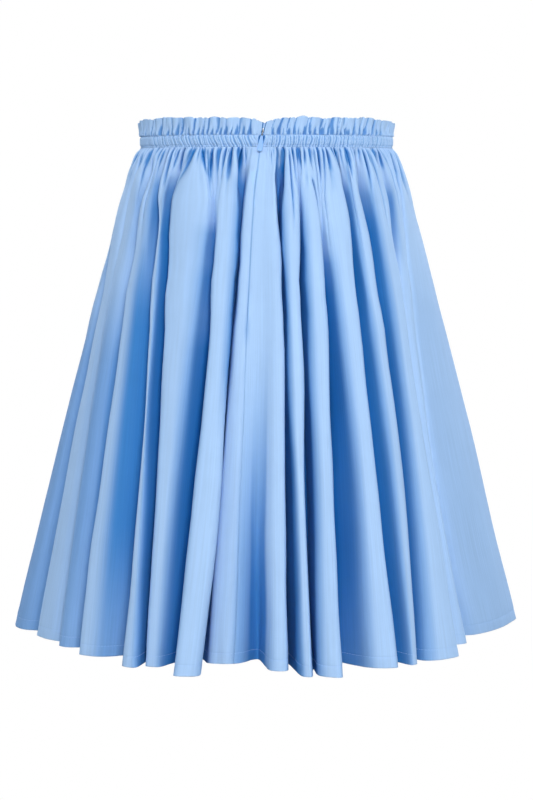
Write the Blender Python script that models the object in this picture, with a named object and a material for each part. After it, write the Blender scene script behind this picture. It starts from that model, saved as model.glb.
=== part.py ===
"""Gathered circle skirt with a paper-bag frill and an invisible back zip, filled out and hollow.

Frame: metres, +Z up, origin at the centre of the waist, level with the middle of the elastic
channel. The back of the skirt, with the zip, faces -Y and its right side is +X. A bearing is
measured round the body from the middle of the back, positive towards +X.
"""
import bpy
import bmesh
from math import asin, atan2, cos, exp, hypot, radians, sin
from mathutils import Matrix, Vector

# cloth
WALL = 0.0010           # panel wall
BAND_WALL = 0.0022      # folded strip with the elastic inside
TAPE_WALL = 0.0010
SEAM_GAP = 0.0003

# heights
BAND_FOOT = -0.0062
PANEL_TOP = BAND_FOOT - SEAM_GAP
FRILL_TOP = 0.0232
YOKE_Z = -0.060         # the small gathers have run into folds here
MIDDLE_Z = -0.270
HEM_Z = -0.510

# gathers and frill
GATHER = 0.0007         # every other column of the gathered edge stands out by this, each way
FRILL_WAVE = 0.0015
FRILL_DIP = 0.0045      # the frill sinks towards the zip
FRILL_DIP_REACH = 0.012
FLAT_BY_ZIP = 0.015     # the cloth next to the zip isn't gathered
BAND_STEPS = 92

# zip
SLIT_X = -0.0052        # where the closed edges meet at the height of the origin
ZIP_LEAN = radians(8.6)
ZIP_END_Z = -0.186
TAPE_WIDTH = 0.0070
TAPE_EDGE = 0.0009      # from the slit's middle, clear of the slider's arch
TAPE_TOP = 0.0085
CHAIN_TOP = 0.0030      # just under the slider
CHAIN_WIDTH = 0.0034
CHAIN_WALL = 0.0013
SLIDER_Z = 0.0072       # height of the bar that the pull swings on
SLIDER_PROUD = 0.0014   # of that bar, in front of the band
SLIDER_BODY = (0.0056, 0.0026, 0.0085)
SLIDER_DROP = 0.0006    # middle of the body, above the bar
ARCH_WIDTH = 0.0010
ARCH_HEIGHT = 0.0036
WINDOW = (0.0040, 0.0016, 0.0018)
ZIP_CLEAR = 0.0004      # between the layers behind the slit
PULL_OUT = radians(15)  # the pull lies on the gathers, tilted out
PULL_LENGTH = 0.0190
PULL_WIDTH = 0.0056
PULL_HALF_WALL = 0.0006
PULL_SHOULDER = 0.0030  # the tab starts this far under the bar
PULL_NECK = 0.0017      # half width of the tab there
RING = (0.0044, 0.0009, 0.0040)
RING_HOLE = (0.0026, 0.0040, 0.0024)
FOOT_STEPS = 12

# the waistband from its foot to the top of its frill; wave is a share of the frill's full wave
BAND_COLUMNS = ("z", "wave", "half_slit", "wall")
BAND = (
    (BAND_FOOT, 0.0, 0.0003, BAND_WALL),
    (-0.0046, 0.0, 0.0004, BAND_WALL),
    (0.0035, 0.0, 0.0011, BAND_WALL),
    (0.0070, 0.15, 0.0011, 0.0018),
    (0.0125, 0.55, 0.0014, 0.0013),
    (FRILL_TOP, 1.0, 0.0030, 0.0012),
)

# the skirt's outline with its folds blown out
SHAPE_COLUMNS = ("z", "half_width", "half_depth")
SHAPE = (
    (0.0240, 0.1338, 0.0975),
    (0.0062, 0.1314, 0.0954),
    (-0.0065, 0.1312, 0.0952),
    (-0.0120, 0.1345, 0.0988),
    (-0.0300, 0.1440, 0.1082),
    (-0.0600, 0.1540, 0.1180),
    (-0.2700, 0.2060, 0.1700),
    (-0.5200, 0.2685, 0.2320),
)

# Folds in order round the body. Bearings in degrees of a fold's two edges at the yoke, half way
# down and at the hem; how far its hem edges and the trough that follows it lie in from the
# outline, in millimetres; how far the trough leans under the next fold, in degrees; and how
# far the hem is hitched up.
FOLD_COLUMNS = (
    "name", "yoke_a", "yoke_b", "middle_a", "middle_b", "hem_a", "hem_b",
    "in_a", "in_b", "trough_yoke", "trough_middle", "trough_hem", "lean", "hitch",
)
BACK_FOLDS = (
    ("left_side", -94, -87, -94, -85, -95, -83, -5, 4, 5, 18, 47, 0, -1),
    ("back_1", -84, -75, -76, -68, -72, -61, 14, 17, 4, 10, 32, 0, 3),
    ("back_2", -69, -61, -65, -60, -59, -55, 19, 23, 7, 18, 52, 2, 2),
    ("back_3", -56, -50, -52, -44.5, -48, -40, 12, 14, 8, 21, 55, 1, 2),
    ("back_4", -46, -43, -37, -35.5, -33.5, -29.5, 10, 9, 9, 30, 65, -4.5, 0),
    ("back_5", -39, -22, -32.5, -24, -28.5, -25, 18, 21, 5, 28, 72, 1, 0),
    ("back_6", -19, -10.5, -18, -11.5, -21, -14, 4, -1, 8, 26, 70, -4.5, -3),
    ("zip_face", -8.5, -4, -11.5, -5.5, -15, -4.5, 38, 40, 2, 16, 68, 0, 3),
    ("back_8", 1.5, 3.5, 1.5, 5.2, 0, 5, 28, 26, 11, 29, 73, -1, 0),
    ("back_9", 6, 12, 7, 10.3, 8, 10.3, 18, 14, 5, 28, 48, 1.5, -4),
    ("back_10", 14, 20, 13, 18.2, 11.2, 16.4, 5, 3, 5, 32, 68, -1, -3),
    ("back_11", 22, 32, 25, 31, 23.5, 30.5, 16, 12, 7, 28, 65, -1, -1),
    ("back_12", 34, 39, 36, 41, 34.5, 37, 17, 19, 10, 28, 62, 1.5, -2),
    ("back_13", 45, 55, 45, 50.3, 39, 50, 10, 12, 7, 14, 57, 2, -1),
    ("back_14", 59, 66, 54.5, 57.5, 58, 62.5, 32, 33, 5, 16, 65, 1, 0),
    ("right_side", 70, 90, 62, 92, 71, 95, 38, -6, 6, 18, 52, 0, 1),
)
FRONT_FOLDS = (
    ("front_1", 96, 108, 97, 106, 101, 107, 10, 6, 6, 25, 62, 1, -1),
    ("front_2", 112, 120, 112, 119, 113, 121, 12, 8, 8, 28, 68, -1, 0),
    ("front_3", 124, 129, 125, 130, 127, 132, 20, 16, 7, 23, 57, 0, 1),
    ("front_4", 133, 143, 135, 143, 138, 144, 6, 4, 8, 30, 70, -1, -2),
    ("front_5", 147, 153, 148, 154, 150, 157, 14, 10, 6, 25, 65, 0, 0),
    ("front_6", 157, 168, 159, 168, 162, 168, 6, 8, 9, 29, 68, 1, -2),
    ("front_7", 172, 178, 173, 179, 174, 181, 16, 12, 6, 25, 62, 0, 1),
    ("front_8", 182, 193, 184, 192, 187, 192, 4, 6, 8, 30, 72, 1, -2),
    ("front_9", 197, 204, 197, 204, 198, 206, 16, 18, 7, 24, 60, -1, 2),
    ("front_10", 208, 218, 209, 217, 211, 217, 6, 4, 8, 30, 68, 0, -1),
    ("front_11", 222, 228, 222, 229, 223, 230, 14, 16, 7, 25, 62, 1, 1),
    ("front_12", 232, 242, 233, 242, 236, 242, 8, 6, 8, 28, 65, -1, 0),
    ("front_13", 246, 252, 246, 253, 248, 255, 16, 12, 6, 23, 60, 0, 1),
    ("front_14", 256, 263, 257, 263, 259, 263, 8, 10, 5, 21, 55, 0, 0),
)
YOKE_INSET = 0.0025     # of fold edges at the yoke
MIDDLE_SHARE = 0.45     # of the hem inset, half way down
CROWN = 0.06            # bulge of a fold's face, as a share of its width
CROWN_EASE = 0.12       # how far the crown's point sinks back towards the edges
ROUND_YOKE = 0.0016     # length of leg that a corner's rounding takes
ROUND_HEM = 0.0110
ROUND_LIMIT = 0.4       # and at most this share of the leg
WAIST_EASE = 6          # columns each way over which the gathers even out
PANEL_ROWS = (0, 0.018, 0.055, 0.106, 0.23, 0.365, 0.66, 1)   # shares of the way down
ZIP_ROWS = 6            # the zip ends above the last of these rows

CLOTH = (0.36, 0.60, 0.93)
TAPE_CLOTH = (0.40, 0.62, 0.92)
METAL = (0.60, 0.54, 0.42)


def named_rows(columns, rows):
    return [dict(zip(columns, row)) for row in rows]


def blend(a, b, share):
    return a + (b - a) * share


def outline(z):
    """Half width and half depth of the blown-out skirt at height z."""
    rows = named_rows(SHAPE_COLUMNS, SHAPE)
    for upper, lower in zip(rows, rows[1:]):
        if z >= lower["z"] or lower is rows[-1]:
            share = (z - upper["z"]) / (lower["z"] - upper["z"])
            return (blend(upper["half_width"], lower["half_width"], share),
                    blend(upper["half_depth"], lower["half_depth"], share))


def on_outline(bearing, inset, z):
    """Point at a bearing in radians, set in from the outline."""
    width, depth = outline(z)
    return Vector(((width - inset) * sin(bearing), -(depth - inset) * cos(bearing)))


def bearing_and_inset(point, z):
    width, depth = outline(z)
    bearing = atan2(point.x / width, -point.y / depth)
    return bearing, width * (1 - hypot(point.x / width, point.y / depth))


def fold_corners():
    """Corners round the body, each with its place at the yoke, half way down and at the hem."""
    folds = named_rows(FOLD_COLUMNS, BACK_FOLDS + FRONT_FOLDS)
    corners = []
    for index, fold in enumerate(folds):
        following = folds[(index + 1) % len(folds)]
        turn = 360 if index == len(folds) - 1 else 0
        edges = {}
        for side in ("a", "b"):
            hem_inset = fold["in_" + side] / 1000
            edges[side] = (
                on_outline(radians(fold["yoke_" + side]), YOKE_INSET, YOKE_Z),
                on_outline(radians(fold["middle_" + side]), hem_inset * MIDDLE_SHARE, MIDDLE_Z),
                on_outline(radians(fold["hem_" + side]), hem_inset, HEM_Z),
            )
        crown = []
        for first, second in zip(edges["a"], edges["b"]):
            middle = (first + second) / 2
            across = second - first
            crown.append(middle + Vector((across.y, -across.x)) * CROWN)
        trough = []
        levels = (("yoke", YOKE_Z, 0), ("middle", MIDDLE_Z, 0.5), ("hem", HEM_Z, 1))
        for level, z, lean in levels:
            bearing = (fold[level + "_b"] + following[level + "_a"] + turn) / 2
            bearing += fold["lean"] * lean
            inset = fold["trough_" + level] / 1000
            trough.append(on_outline(radians(bearing), inset, z))
        hitch = fold["hitch"] / 1000
        trough_hitch = (hitch + following["hitch"] / 1000) / 2
        name = fold["name"]
        corners.append({"name": name + ".a", "places": edges["a"], "hitch": hitch})
        corners.append({"name": name + ".crown", "places": crown, "hitch": hitch})
        corners.append({"name": name + ".b", "places": edges["b"], "hitch": hitch})
        corners.append({"name": name + ".trough", "places": trough, "hitch": trough_hitch})
    return corners


def section(corners, z):
    """Rounded cross-section at height z: one point for each column, round the body."""
    share = (z - YOKE_Z) / (HEM_Z - YOKE_Z)
    half = (MIDDLE_Z - YOKE_Z) / (HEM_Z - YOKE_Z)
    yoke_weight = (share - half) * (share - 1) / half
    middle_weight = share * (share - 1) / (half * (half - 1))
    hem_weight = share * (share - half) / (1 - half)
    places = []
    for corner in corners:
        yoke, middle, hem = corner["places"]
        places.append(yoke * yoke_weight + middle * middle_weight + hem * hem_weight)
    rounding = blend(ROUND_YOKE, ROUND_HEM, share)
    points = []
    for index, corner in enumerate(corners):
        here = places[index]
        before = places[index - 1] - here
        after = places[(index + 1) % len(places)] - here
        if corner["name"].endswith("crown"):
            points.append(here + (before + after) * CROWN_EASE)
            continue
        for leg in (before, after):
            points.append(here + leg * min(ROUND_LIMIT, rounding / leg.length))
    return points


def column_names(corners):
    names = []
    for corner in corners:
        names += [corner["name"]] * (1 if corner["name"].endswith("crown") else 2)
    return names


def slit_x(z):
    return SLIT_X + z * sin(ZIP_LEAN)


def waist_bearings(yoke_bearings, seam_column):
    """Spread the columns evenly at the gathered edge, with the zip's edges on the slit."""
    reach = WAIST_EASE
    count = len(yoke_bearings)
    spread = []
    for column in range(count):
        total = 0
        for step in range(-reach, reach + 1):
            lap, index = divmod(column + step, count)
            total += yoke_bearings[index] + radians(360) * lap
        spread.append(total / (2 * reach + 1))
    slit = asin(slit_x(PANEL_TOP) / outline(PANEL_TOP)[0])
    pull = slit - spread[seam_column]
    for column in range(count):
        spread[column] += pull * exp(-((column - seam_column) / reach) ** 2)
    return spread


def skirt_rows(corners):
    """Mid-surface points of the whole skirt: a list of rows, each with one point per column."""
    names = column_names(corners)
    seam_column = names.index("zip_face.b")
    yoke = section(corners, YOKE_Z)
    polar = [bearing_and_inset(point, YOKE_Z) for point in yoke]
    bearings = [polar[0][0]]
    for bearing, _ in polar[1:]:
        while bearing < bearings[-1] - radians(180):
            bearing += radians(360)
        bearings.append(bearing)
    waist = waist_bearings(bearings, seam_column)
    hitches = []
    for corner in corners:
        hitches += [corner["hitch"]] * (1 if corner["name"].endswith("crown") else 2)
    rows = []
    for share in PANEL_ROWS:
        level = blend(PANEL_TOP, HEM_Z, share)
        low = section(corners, min(level, YOKE_Z))
        row = []
        for column, flat in enumerate(low):
            z = level + hitches[column] * share
            if level > YOKE_Z:
                down = (level - PANEL_TOP) / (YOKE_Z - PANEL_TOP)
                bearing = blend(waist[column], bearings[column], down)
                from_zip = abs(waist[column] - waist[seam_column]) * outline(level)[0]
                gathered = 1 - exp(-(from_zip / FLAT_BY_ZIP) ** 4)
                ripple = GATHER * (1 if column % 2 else -1) * (1 - down) * gathered
                flat = on_outline(bearing, polar[column][1] * down + ripple, level)
            row.append(Vector((flat.x, flat.y, z)))
        rows.append(row)
    return rows, seam_column


def row_normals(row, closed):
    """Horizontal outward direction at each point of a row that runs towards +X at the back."""
    normals = []
    last = len(row) - 1
    for index, point in enumerate(row):
        before = row[index - 1] if closed or index else row[0]
        after = row[(index + 1) % len(row)] if closed or index < last else row[last]
        along = (after - before).to_2d().normalized()
        normals.append(Vector((along.y, -along.x, 0)))
    return normals


def new_object(name, bm, colour, roughness, metallic=0.0, smooth=True):
    bmesh.ops.recalc_face_normals(bm, faces=bm.faces)
    mesh = bpy.data.meshes.new(name)
    bm.to_mesh(mesh)
    bm.free()
    material = bpy.data.materials.new(name)
    material.use_nodes = True
    shader = material.node_tree.nodes["Principled BSDF"]
    shader.inputs["Base Color"].default_value = (*colour, 1)
    shader.inputs["Roughness"].default_value = roughness
    shader.inputs["Metallic"].default_value = metallic
    mesh.materials.append(material)
    if smooth:
        mesh.shade_smooth()
    piece = bpy.data.objects.new(name, mesh)
    bpy.context.scene.collection.objects.link(piece)
    return piece


def wall_object(name, outer, inner, colour, roughness):
    """Closed wall between two grids of points of the same rows and columns."""
    bm = bmesh.new()
    outer_verts = [[bm.verts.new(point) for point in row] for row in outer]
    inner_verts = [[bm.verts.new(point) for point in row] for row in inner]
    last_row, last_column = len(outer) - 1, len(outer[0]) - 1

    def face_pair(a, b, c, d):
        bm.faces.new((a, b, c))
        bm.faces.new((a, c, d))

    for row in range(last_row):
        for column in range(last_column):
            a, b = outer_verts[row][column], outer_verts[row][column + 1]
            c, d = outer_verts[row + 1][column + 1], outer_verts[row + 1][column]
            face_pair(a, d, c, b)
            a, b = inner_verts[row][column], inner_verts[row][column + 1]
            c, d = inner_verts[row + 1][column + 1], inner_verts[row + 1][column]
            face_pair(a, b, c, d)
    for row in (0, last_row):
        for column in range(last_column):
            face_pair(outer_verts[row][column], outer_verts[row][column + 1],
                      inner_verts[row][column + 1], inner_verts[row][column])
    for column in (0, last_column):
        for row in range(last_row):
            face_pair(outer_verts[row][column], inner_verts[row][column],
                      inner_verts[row + 1][column], outer_verts[row + 1][column])
    return new_object(name, bm, colour, roughness)


def panel(name, rows, normals, first, last):
    """One cut panel between two seam columns, drawn back by half the seam gap at each."""
    count = len(rows[0])
    outer = []
    inner = []
    for row, outwards in zip(rows, normals):
        indices = [column % count for column in range(first, last + 1)]
        points = [row[index].copy() for index in indices]
        for end, neighbour in ((0, 1), (-1, -2)):
            along = (points[neighbour] - points[end]).normalized()
            points[end] += along * SEAM_GAP / 2
        moves = [outwards[index] * WALL / 2 for index in indices]
        outer.append([point + move for point, move in zip(points, moves)])
        inner.append([point - move for point, move in zip(points, moves)])
    return wall_object(name, outer, inner, CLOTH, 0.75)


def waistband():
    """Strip from one edge of the slit round to the other, with the frill's waves on top."""
    rows = []
    for level in named_rows(BAND_COLUMNS, BAND):
        z, wave, slit = level["z"], level["wave"], level["half_slit"]
        width = outline(z)[0]
        start = asin((slit_x(z) + slit) / width)
        end = radians(360) + asin((slit_x(z) - slit) / width)
        row = []
        for column in range(BAND_STEPS + 1):
            bearing = blend(start, end, column / BAND_STEPS)
            ripple = FRILL_WAVE * wave * (1 if column % 2 else -1)
            flat = on_outline(bearing, ripple, z)
            from_slit = min(bearing - start, end - bearing) * width
            dip = FRILL_DIP * wave * exp(-(from_slit / FRILL_DIP_REACH) ** 2)
            row.append(Vector((flat.x, flat.y, z - dip)))
        rows.append(row)
    outer = []
    inner = []
    for row, level in zip(rows, named_rows(BAND_COLUMNS, BAND)):
        outwards = row_normals(row, closed=False)
        outer.append([p + n * level["wall"] / 2 for p, n in zip(row, outwards)])
        inner.append([p - n * level["wall"] / 2 for p, n in zip(row, outwards)])
    return wall_object("waistband", outer, inner, CLOTH, 0.75)


def walk(row, start, distance):
    """Point and outward direction on a row, a distance along it from a column."""
    step = 1 if distance > 0 else -1
    left = abs(distance)
    column = start
    while True:
        here, there = row[column], row[column + step]
        leg = (there - here).length
        if left <= leg:
            along = (there - here).normalized()
            outwards = Vector((along.y, -along.x, 0)).normalized() * step
            return here + along * left, outwards
        left -= leg
        column += step


def zip_strip(name, rows, seam_column, places, depth, wall, top):
    """Strip behind the closed edges, through places along the rows, at a depth inside."""
    waist_half = outline(0)[0]
    band_extra = (BAND_WALL - WALL) / 2
    outer = []
    inner = []
    for z in (top, 0.0, BAND_FOOT - 0.001):
        out_row = []
        in_row = []
        for place in places:
            bearing = asin((slit_x(z) + place) / waist_half)
            flat = on_outline(bearing, 0, 0)
            outwards = Vector((sin(bearing), -cos(bearing), 0))
            point = Vector((flat.x, flat.y, z))
            out_row.append(point - outwards * (depth + band_extra - wall / 2))
            in_row.append(point - outwards * (depth + band_extra + wall / 2))
        outer.append(out_row)
        inner.append(in_row)
    for row in rows[1:ZIP_ROWS]:
        out_row = []
        in_row = []
        for place in places:
            point, outwards = walk(row, seam_column, place)
            out_row.append(point - outwards * (depth - wall / 2))
            in_row.append(point - outwards * (depth + wall / 2))
        outer.append(out_row)
        inner.append(in_row)
    for grid in (outer, inner):
        share = (ZIP_END_Z - grid[-2][0].z) / (grid[-1][0].z - grid[-2][0].z)
        grid[-1] = [upper.lerp(lower, share) for upper, lower in zip(grid[-2], grid[-1])]
    return wall_object(name, outer, inner, TAPE_CLOTH, 0.7)


def box_mesh(size, centre):
    bm = bmesh.new()
    bmesh.ops.create_cube(bm, size=1)
    bmesh.ops.scale(bm, vec=size, verts=bm.verts)
    bmesh.ops.translate(bm, vec=centre, verts=bm.verts)
    return bm


def add_boolean(piece, cutter, operation):
    cutter.hide_render = True
    cutter.display_type = "WIRE"
    modifier = piece.modifiers.new(operation.lower(), "BOOLEAN")
    modifier.operation = operation
    modifier.object = cutter
    modifier.solver = "EXACT"


def bar_place():
    """Where the slider's bar is: the centre that the pull swings round."""
    bearing = asin(slit_x(SLIDER_Z) / outline(0)[0])
    flat = on_outline(bearing, -(BAND_WALL / 2 + SLIDER_PROUD), 0)
    return Vector((slit_x(SLIDER_Z), flat.y, SLIDER_Z))


def zip_slider():
    """Body inside the waist, with an arch through the slit that the pull hangs from."""
    layers = SLIDER_PROUD + BAND_WALL + ZIP_CLEAR + TAPE_WALL + ZIP_CLEAR
    body_in = layers + SLIDER_BODY[1] / 2
    body_mesh = box_mesh(SLIDER_BODY, (0, body_in, SLIDER_DROP))
    body = new_object("zip_slider", body_mesh, METAL, 0.35, 1.0, smooth=False)
    bevel = body.modifiers.new("bevel", "BEVEL")
    bevel.width = 0.0006
    bevel.segments = 2
    arch_length = body_in + SLIDER_PROUD
    arch_size = (ARCH_WIDTH, arch_length, ARCH_HEIGHT)
    arch_mesh = box_mesh(arch_size, (0, arch_length / 2 - SLIDER_PROUD, 0))
    arch = new_object("slider_arch", arch_mesh, METAL, 0.35, 1.0, smooth=False)
    window = new_object("slider_window", box_mesh(WINDOW, (0, 0, 0)), METAL, 0.35, 1.0, smooth=False)
    add_boolean(body, arch, "UNION")
    add_boolean(body, window, "DIFFERENCE")
    place = Matrix.Translation(bar_place()) @ Matrix.Rotation(ZIP_LEAN, 4, "Y")
    for piece in (body, arch, window):
        piece.matrix_world = place
    return body


def zip_pull():
    """Teardrop tab on a ring through the slider's arch, with its origin on the ring's bar."""
    reach = PULL_WIDTH / 2
    foot_centre = reach - PULL_LENGTH
    points = []
    for step in range(FOOT_STEPS + 1):
        angle = radians(180) * (1 + step / FOOT_STEPS)
        points.append((reach * cos(angle), foot_centre + reach * sin(angle)))
    points += [(PULL_NECK, -PULL_SHOULDER), (-PULL_NECK, -PULL_SHOULDER)]
    bm = bmesh.new()
    tab = bm.faces.new([bm.verts.new((x, -PULL_HALF_WALL, z)) for x, z in points])
    thick = bmesh.ops.extrude_face_region(bm, geom=[tab])
    moved = [item for item in thick["geom"] if isinstance(item, bmesh.types.BMVert)]
    bmesh.ops.translate(bm, vec=(0, 2 * PULL_HALF_WALL, 0), verts=moved)
    pull = new_object("zip_pull", bm, CLOTH, 0.4, 0.0, smooth=False)
    bar = RING[1] / 2
    ring_mesh = box_mesh(RING, (0, 0, bar - RING[2] / 2))
    ring = new_object("pull_ring", ring_mesh, CLOTH, 0.4, 0.0, smooth=False)
    hole_mesh = box_mesh(RING_HOLE, (0, 0, -bar - RING_HOLE[2] / 2))
    hole = new_object("pull_hole", hole_mesh, CLOTH, 0.4, 0.0, smooth=False)
    add_boolean(pull, ring, "UNION")
    add_boolean(pull, hole, "DIFFERENCE")
    place = Matrix.Translation(bar_place()) @ Matrix.Rotation(ZIP_LEAN, 4, "Y")
    place = place @ Matrix.Rotation(-PULL_OUT, 4, "X")
    for piece in (pull, ring, hole):
        piece.matrix_world = place
    return pull


def build():
    for item in list(bpy.data.objects):
        bpy.data.objects.remove(item, do_unlink=True)
    corners = fold_corners()
    rows, zip_seam = skirt_rows(corners)
    normals = [row_normals(row, closed=True) for row in rows]
    names = column_names(corners)
    left_seam = names.index("left_side.a")
    right_seam = names.index("right_side.b") + 1
    panel("skirt_back_left", rows, normals, left_seam, zip_seam)
    panel("skirt_back_right", rows, normals, zip_seam, right_seam)
    panel("skirt_front", rows, normals, right_seam, len(names))
    waistband()
    depth = WALL / 2 + ZIP_CLEAR + TAPE_WALL / 2
    places = (TAPE_EDGE, TAPE_EDGE + TAPE_WIDTH / 2, TAPE_EDGE + TAPE_WIDTH)
    zip_strip("zip_tape_right", rows, zip_seam, places, depth, TAPE_WALL, TAPE_TOP)
    left_places = tuple(-place for place in reversed(places))
    zip_strip("zip_tape_left", rows, zip_seam, left_places, depth, TAPE_WALL, TAPE_TOP)
    chain_depth = depth + TAPE_WALL / 2 + ZIP_CLEAR + CHAIN_WALL / 2
    chain_places = (-CHAIN_WIDTH / 2, CHAIN_WIDTH / 2)
    zip_strip("zip_chain", rows, zip_seam, chain_places, chain_depth, CHAIN_WALL, CHAIN_TOP)
    zip_slider()
    zip_pull()


build()
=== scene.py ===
import bpy
import bmesh
from bisect import bisect_right
from math import asin, atan2, cos, exp, hypot, pi, radians, sin
from random import Random
from mathutils import Matrix, Vector
from mathutils.noise import noise


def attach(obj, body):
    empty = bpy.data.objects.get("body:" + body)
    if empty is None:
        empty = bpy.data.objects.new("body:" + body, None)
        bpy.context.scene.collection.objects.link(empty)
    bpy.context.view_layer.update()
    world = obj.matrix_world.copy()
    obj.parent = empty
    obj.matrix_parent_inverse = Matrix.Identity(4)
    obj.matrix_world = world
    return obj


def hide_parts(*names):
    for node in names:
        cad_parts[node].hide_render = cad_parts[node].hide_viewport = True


# Frame: +Z up, origin in the middle of the waist. The back, with the zip, faces -Y. A bearing is
# measured round the body from the middle of the back, positive towards +X, and a girth is a
# length round the waist in metres from the slit, going the same way.

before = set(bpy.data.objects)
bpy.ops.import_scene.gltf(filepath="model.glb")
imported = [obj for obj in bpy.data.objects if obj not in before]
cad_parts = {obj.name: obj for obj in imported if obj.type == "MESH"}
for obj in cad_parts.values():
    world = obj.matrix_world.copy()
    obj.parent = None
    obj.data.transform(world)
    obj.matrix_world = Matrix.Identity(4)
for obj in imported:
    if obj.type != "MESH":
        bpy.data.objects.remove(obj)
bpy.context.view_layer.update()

levels = {
    "frillTop": 0.0232,
    "bandFoot": -0.0062,
    "panelTop": -0.0064,
    "yoke": -0.060,
    "middle": -0.270,
    "hem": -0.510,
    "zipEnd": -0.186,
}

# the outline with its folds blown out
shapeColumns = ("z", "halfWidth", "halfDepth")
shapeRows = (
    (0.0240, 0.1322, 0.0962),
    (0.0062, 0.1303, 0.0954),
    (-0.0065, 0.1302, 0.0952),
    (-0.0120, 0.1345, 0.0988),
    (-0.0300, 0.1440, 0.1082),
    (-0.0600, 0.1540, 0.1180),
    (-0.2700, 0.2060, 0.1700),
    (-0.5200, 0.2685, 0.2320),
)

# Folds in order round the body. Bearings in degrees of a fold's two edges at the yoke, half way
# down and at the hem; how far its hem edges and the trough that follows it lie in from the
# outline, in millimetres; how far the trough leans under the next fold, in degrees; and how
# far the hem is hitched up.
foldColumns = (
    "name", "yokeA", "yokeB", "middleA", "middleB", "hemA", "hemB",
    "inA", "inB", "troughYoke", "troughMiddle", "troughHem", "lean", "hitch",
)
backFolds = (
    ("leftSide", -94, -87, -94, -85, -95, -83, -5, 4, 5, 18, 47, 0, -1),
    ("back1", -84, -75, -76, -68, -72, -61, 14, 17, 4, 10, 32, 0, 3),
    ("back2", -69, -61, -65, -60, -59, -55, 19, 23, 7, 18, 52, 2, 2),
    ("back3", -56, -50, -52, -44.5, -48, -40, 12, 14, 8, 21, 55, 1, 2),
    ("back4", -46, -43, -37, -35.5, -33.5, -29.5, 10, 9, 9, 30, 65, -4.5, 0),
    ("back5", -39, -22, -32.5, -24, -28.5, -25, 18, 21, 5, 28, 72, 1, 0),
    ("back6", -19, -10.5, -18, -11.5, -21, -14, 4, -1, 8, 26, 70, -4.5, -3),
    ("zipFace", -8.5, -4, -11.5, -5.5, -15, -6.2, 38, 42, 2, 16, 72, 0, 3),
    ("back8", 1.5, 3.5, 1.5, 5.2, 0.8, 5, 28, 26, 11, 29, 73, -1, 0),
    ("back9", 6, 12, 7, 10.3, 8, 10.3, 18, 14, 5, 28, 48, 1.5, -4),
    ("back10", 14, 20, 13, 18.2, 11.2, 16.4, 5, 3, 2, 32, 68, -1, -3),
    ("back11", 22, 32, 25, 31, 23.5, 30.5, 16, 12, 7, 28, 65, -1, -1),
    ("back12", 34, 39, 36, 41, 34.5, 37, 17, 19, 10, 28, 62, 1.5, -2),
    ("back13", 45, 55, 45, 50.3, 39, 50, 10, 12, 7, 14, 57, 2, -1),
    ("back14", 59, 66, 54.5, 57.5, 58, 62.5, 32, 33, 5, 16, 65, 1, 0),
    ("rightSide", 70, 90, 62, 92, 71, 95, 38, -6, 6, 18, 52, 0, 1),
)
frontFolds = (
    ("front1", 96, 108, 97, 106, 101, 107, 10, 6, 6, 25, 62, 1, -1),
    ("front2", 112, 120, 112, 119, 113, 121, 12, 8, 8, 28, 68, -1, 0),
    ("front3", 124, 129, 125, 130, 127, 132, 20, 16, 7, 23, 57, 0, 1),
    ("front4", 133, 143, 135, 143, 138, 144, 6, 4, 8, 30, 70, -1, -2),
    ("front5", 147, 153, 148, 154, 150, 157, 14, 10, 6, 25, 65, 0, 0),
    ("front6", 157, 168, 159, 168, 162, 168, 6, 8, 9, 29, 68, 1, -2),
    ("front7", 172, 178, 173, 179, 174, 181, 16, 12, 6, 25, 62, 0, 1),
    ("front8", 182, 193, 184, 192, 187, 192, 4, 6, 8, 30, 72, 1, -2),
    ("front9", 197, 204, 197, 204, 198, 206, 16, 18, 7, 24, 60, -1, 2),
    ("front10", 208, 218, 209, 217, 211, 217, 6, 4, 8, 30, 68, 0, -1),
    ("front11", 222, 228, 222, 229, 223, 230, 14, 16, 7, 25, 62, 1, 1),
    ("front12", 232, 242, 233, 242, 236, 242, 8, 6, 8, 28, 65, -1, 0),
    ("front13", 246, 252, 246, 253, 248, 255, 16, 12, 6, 23, 60, 0, 1),
    ("front14", 256, 263, 257, 263, 259, 263, 8, 10, 5, 21, 55, 0, 0),
)
foldShape = {
    "yokeInset": 0.0025,      # of fold edges at the yoke
    "middleShare": 0.45,      # of the hem inset, half way down
    "crown": 0.09,            # bulge of a fold's face, as a share of its width
    "crownEase": 0.12,
    "deepYoke": 2.1,          # troughs are this much deeper than the table at the yoke
    "deepMiddle": 1.4,
    "deepHem": 1.0,
    "roundYoke": 0.0022,      # length of leg that a corner's rounding takes
    "roundTrough": 0.0110,    # the same at the hem, for troughs
    "roundSharp": 0.0060,     # for a fold's edge turned away from the back's middle
    "roundSoft": 0.0105,      # for its edge towards the middle
    "roundFront": 0.0085,
    "roundLimit": 0.45,
    "arcSteps": 8,
    "wallSteps": 6,
    "faceStep": 0.0034,
    "faceFewest": 8,
    "faceMost": 26,
    "smoothing": 2,
    "sway": 0.0030,           # a fold's edges wander sideways by this on their way down
    "swayRate": 7,
    "swayApart": 5.3,         # step in the noise from one corner to the next
    "swaySeed": 2.0,
    "swayFull": 0.3,          # share of the way down by which they wander in full
    "turnIn": 0.011,          # extra inset at the hem of a fold's edge that rolls into the trough
    "turnWidth": 4.4,         # degrees at the hem; a narrower fold doesn't roll in
    "evenOut": 0.43,          # of a lap round a fold, each way, over which the gathers even out
    "gatherPower": 0.75,      # how fast the folds' insets grow from the band to the yoke
}
flatFolds = ("leftSide", "zipFace", "rightSide")      # these don't roll in either
levelNames = ("yoke", "middle", "hem")
leanShares = (0, 0.5, 1)      # of a trough's lean, at those levels
perMetre = 1000               # the fold and crease tables are in millimetres
cornersEach = 3               # of a fold: its first edge A, its second edge B, the trough after it


def namedRows(columns, rows):
    return [dict(zip(columns, row)) for row in rows]


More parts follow.
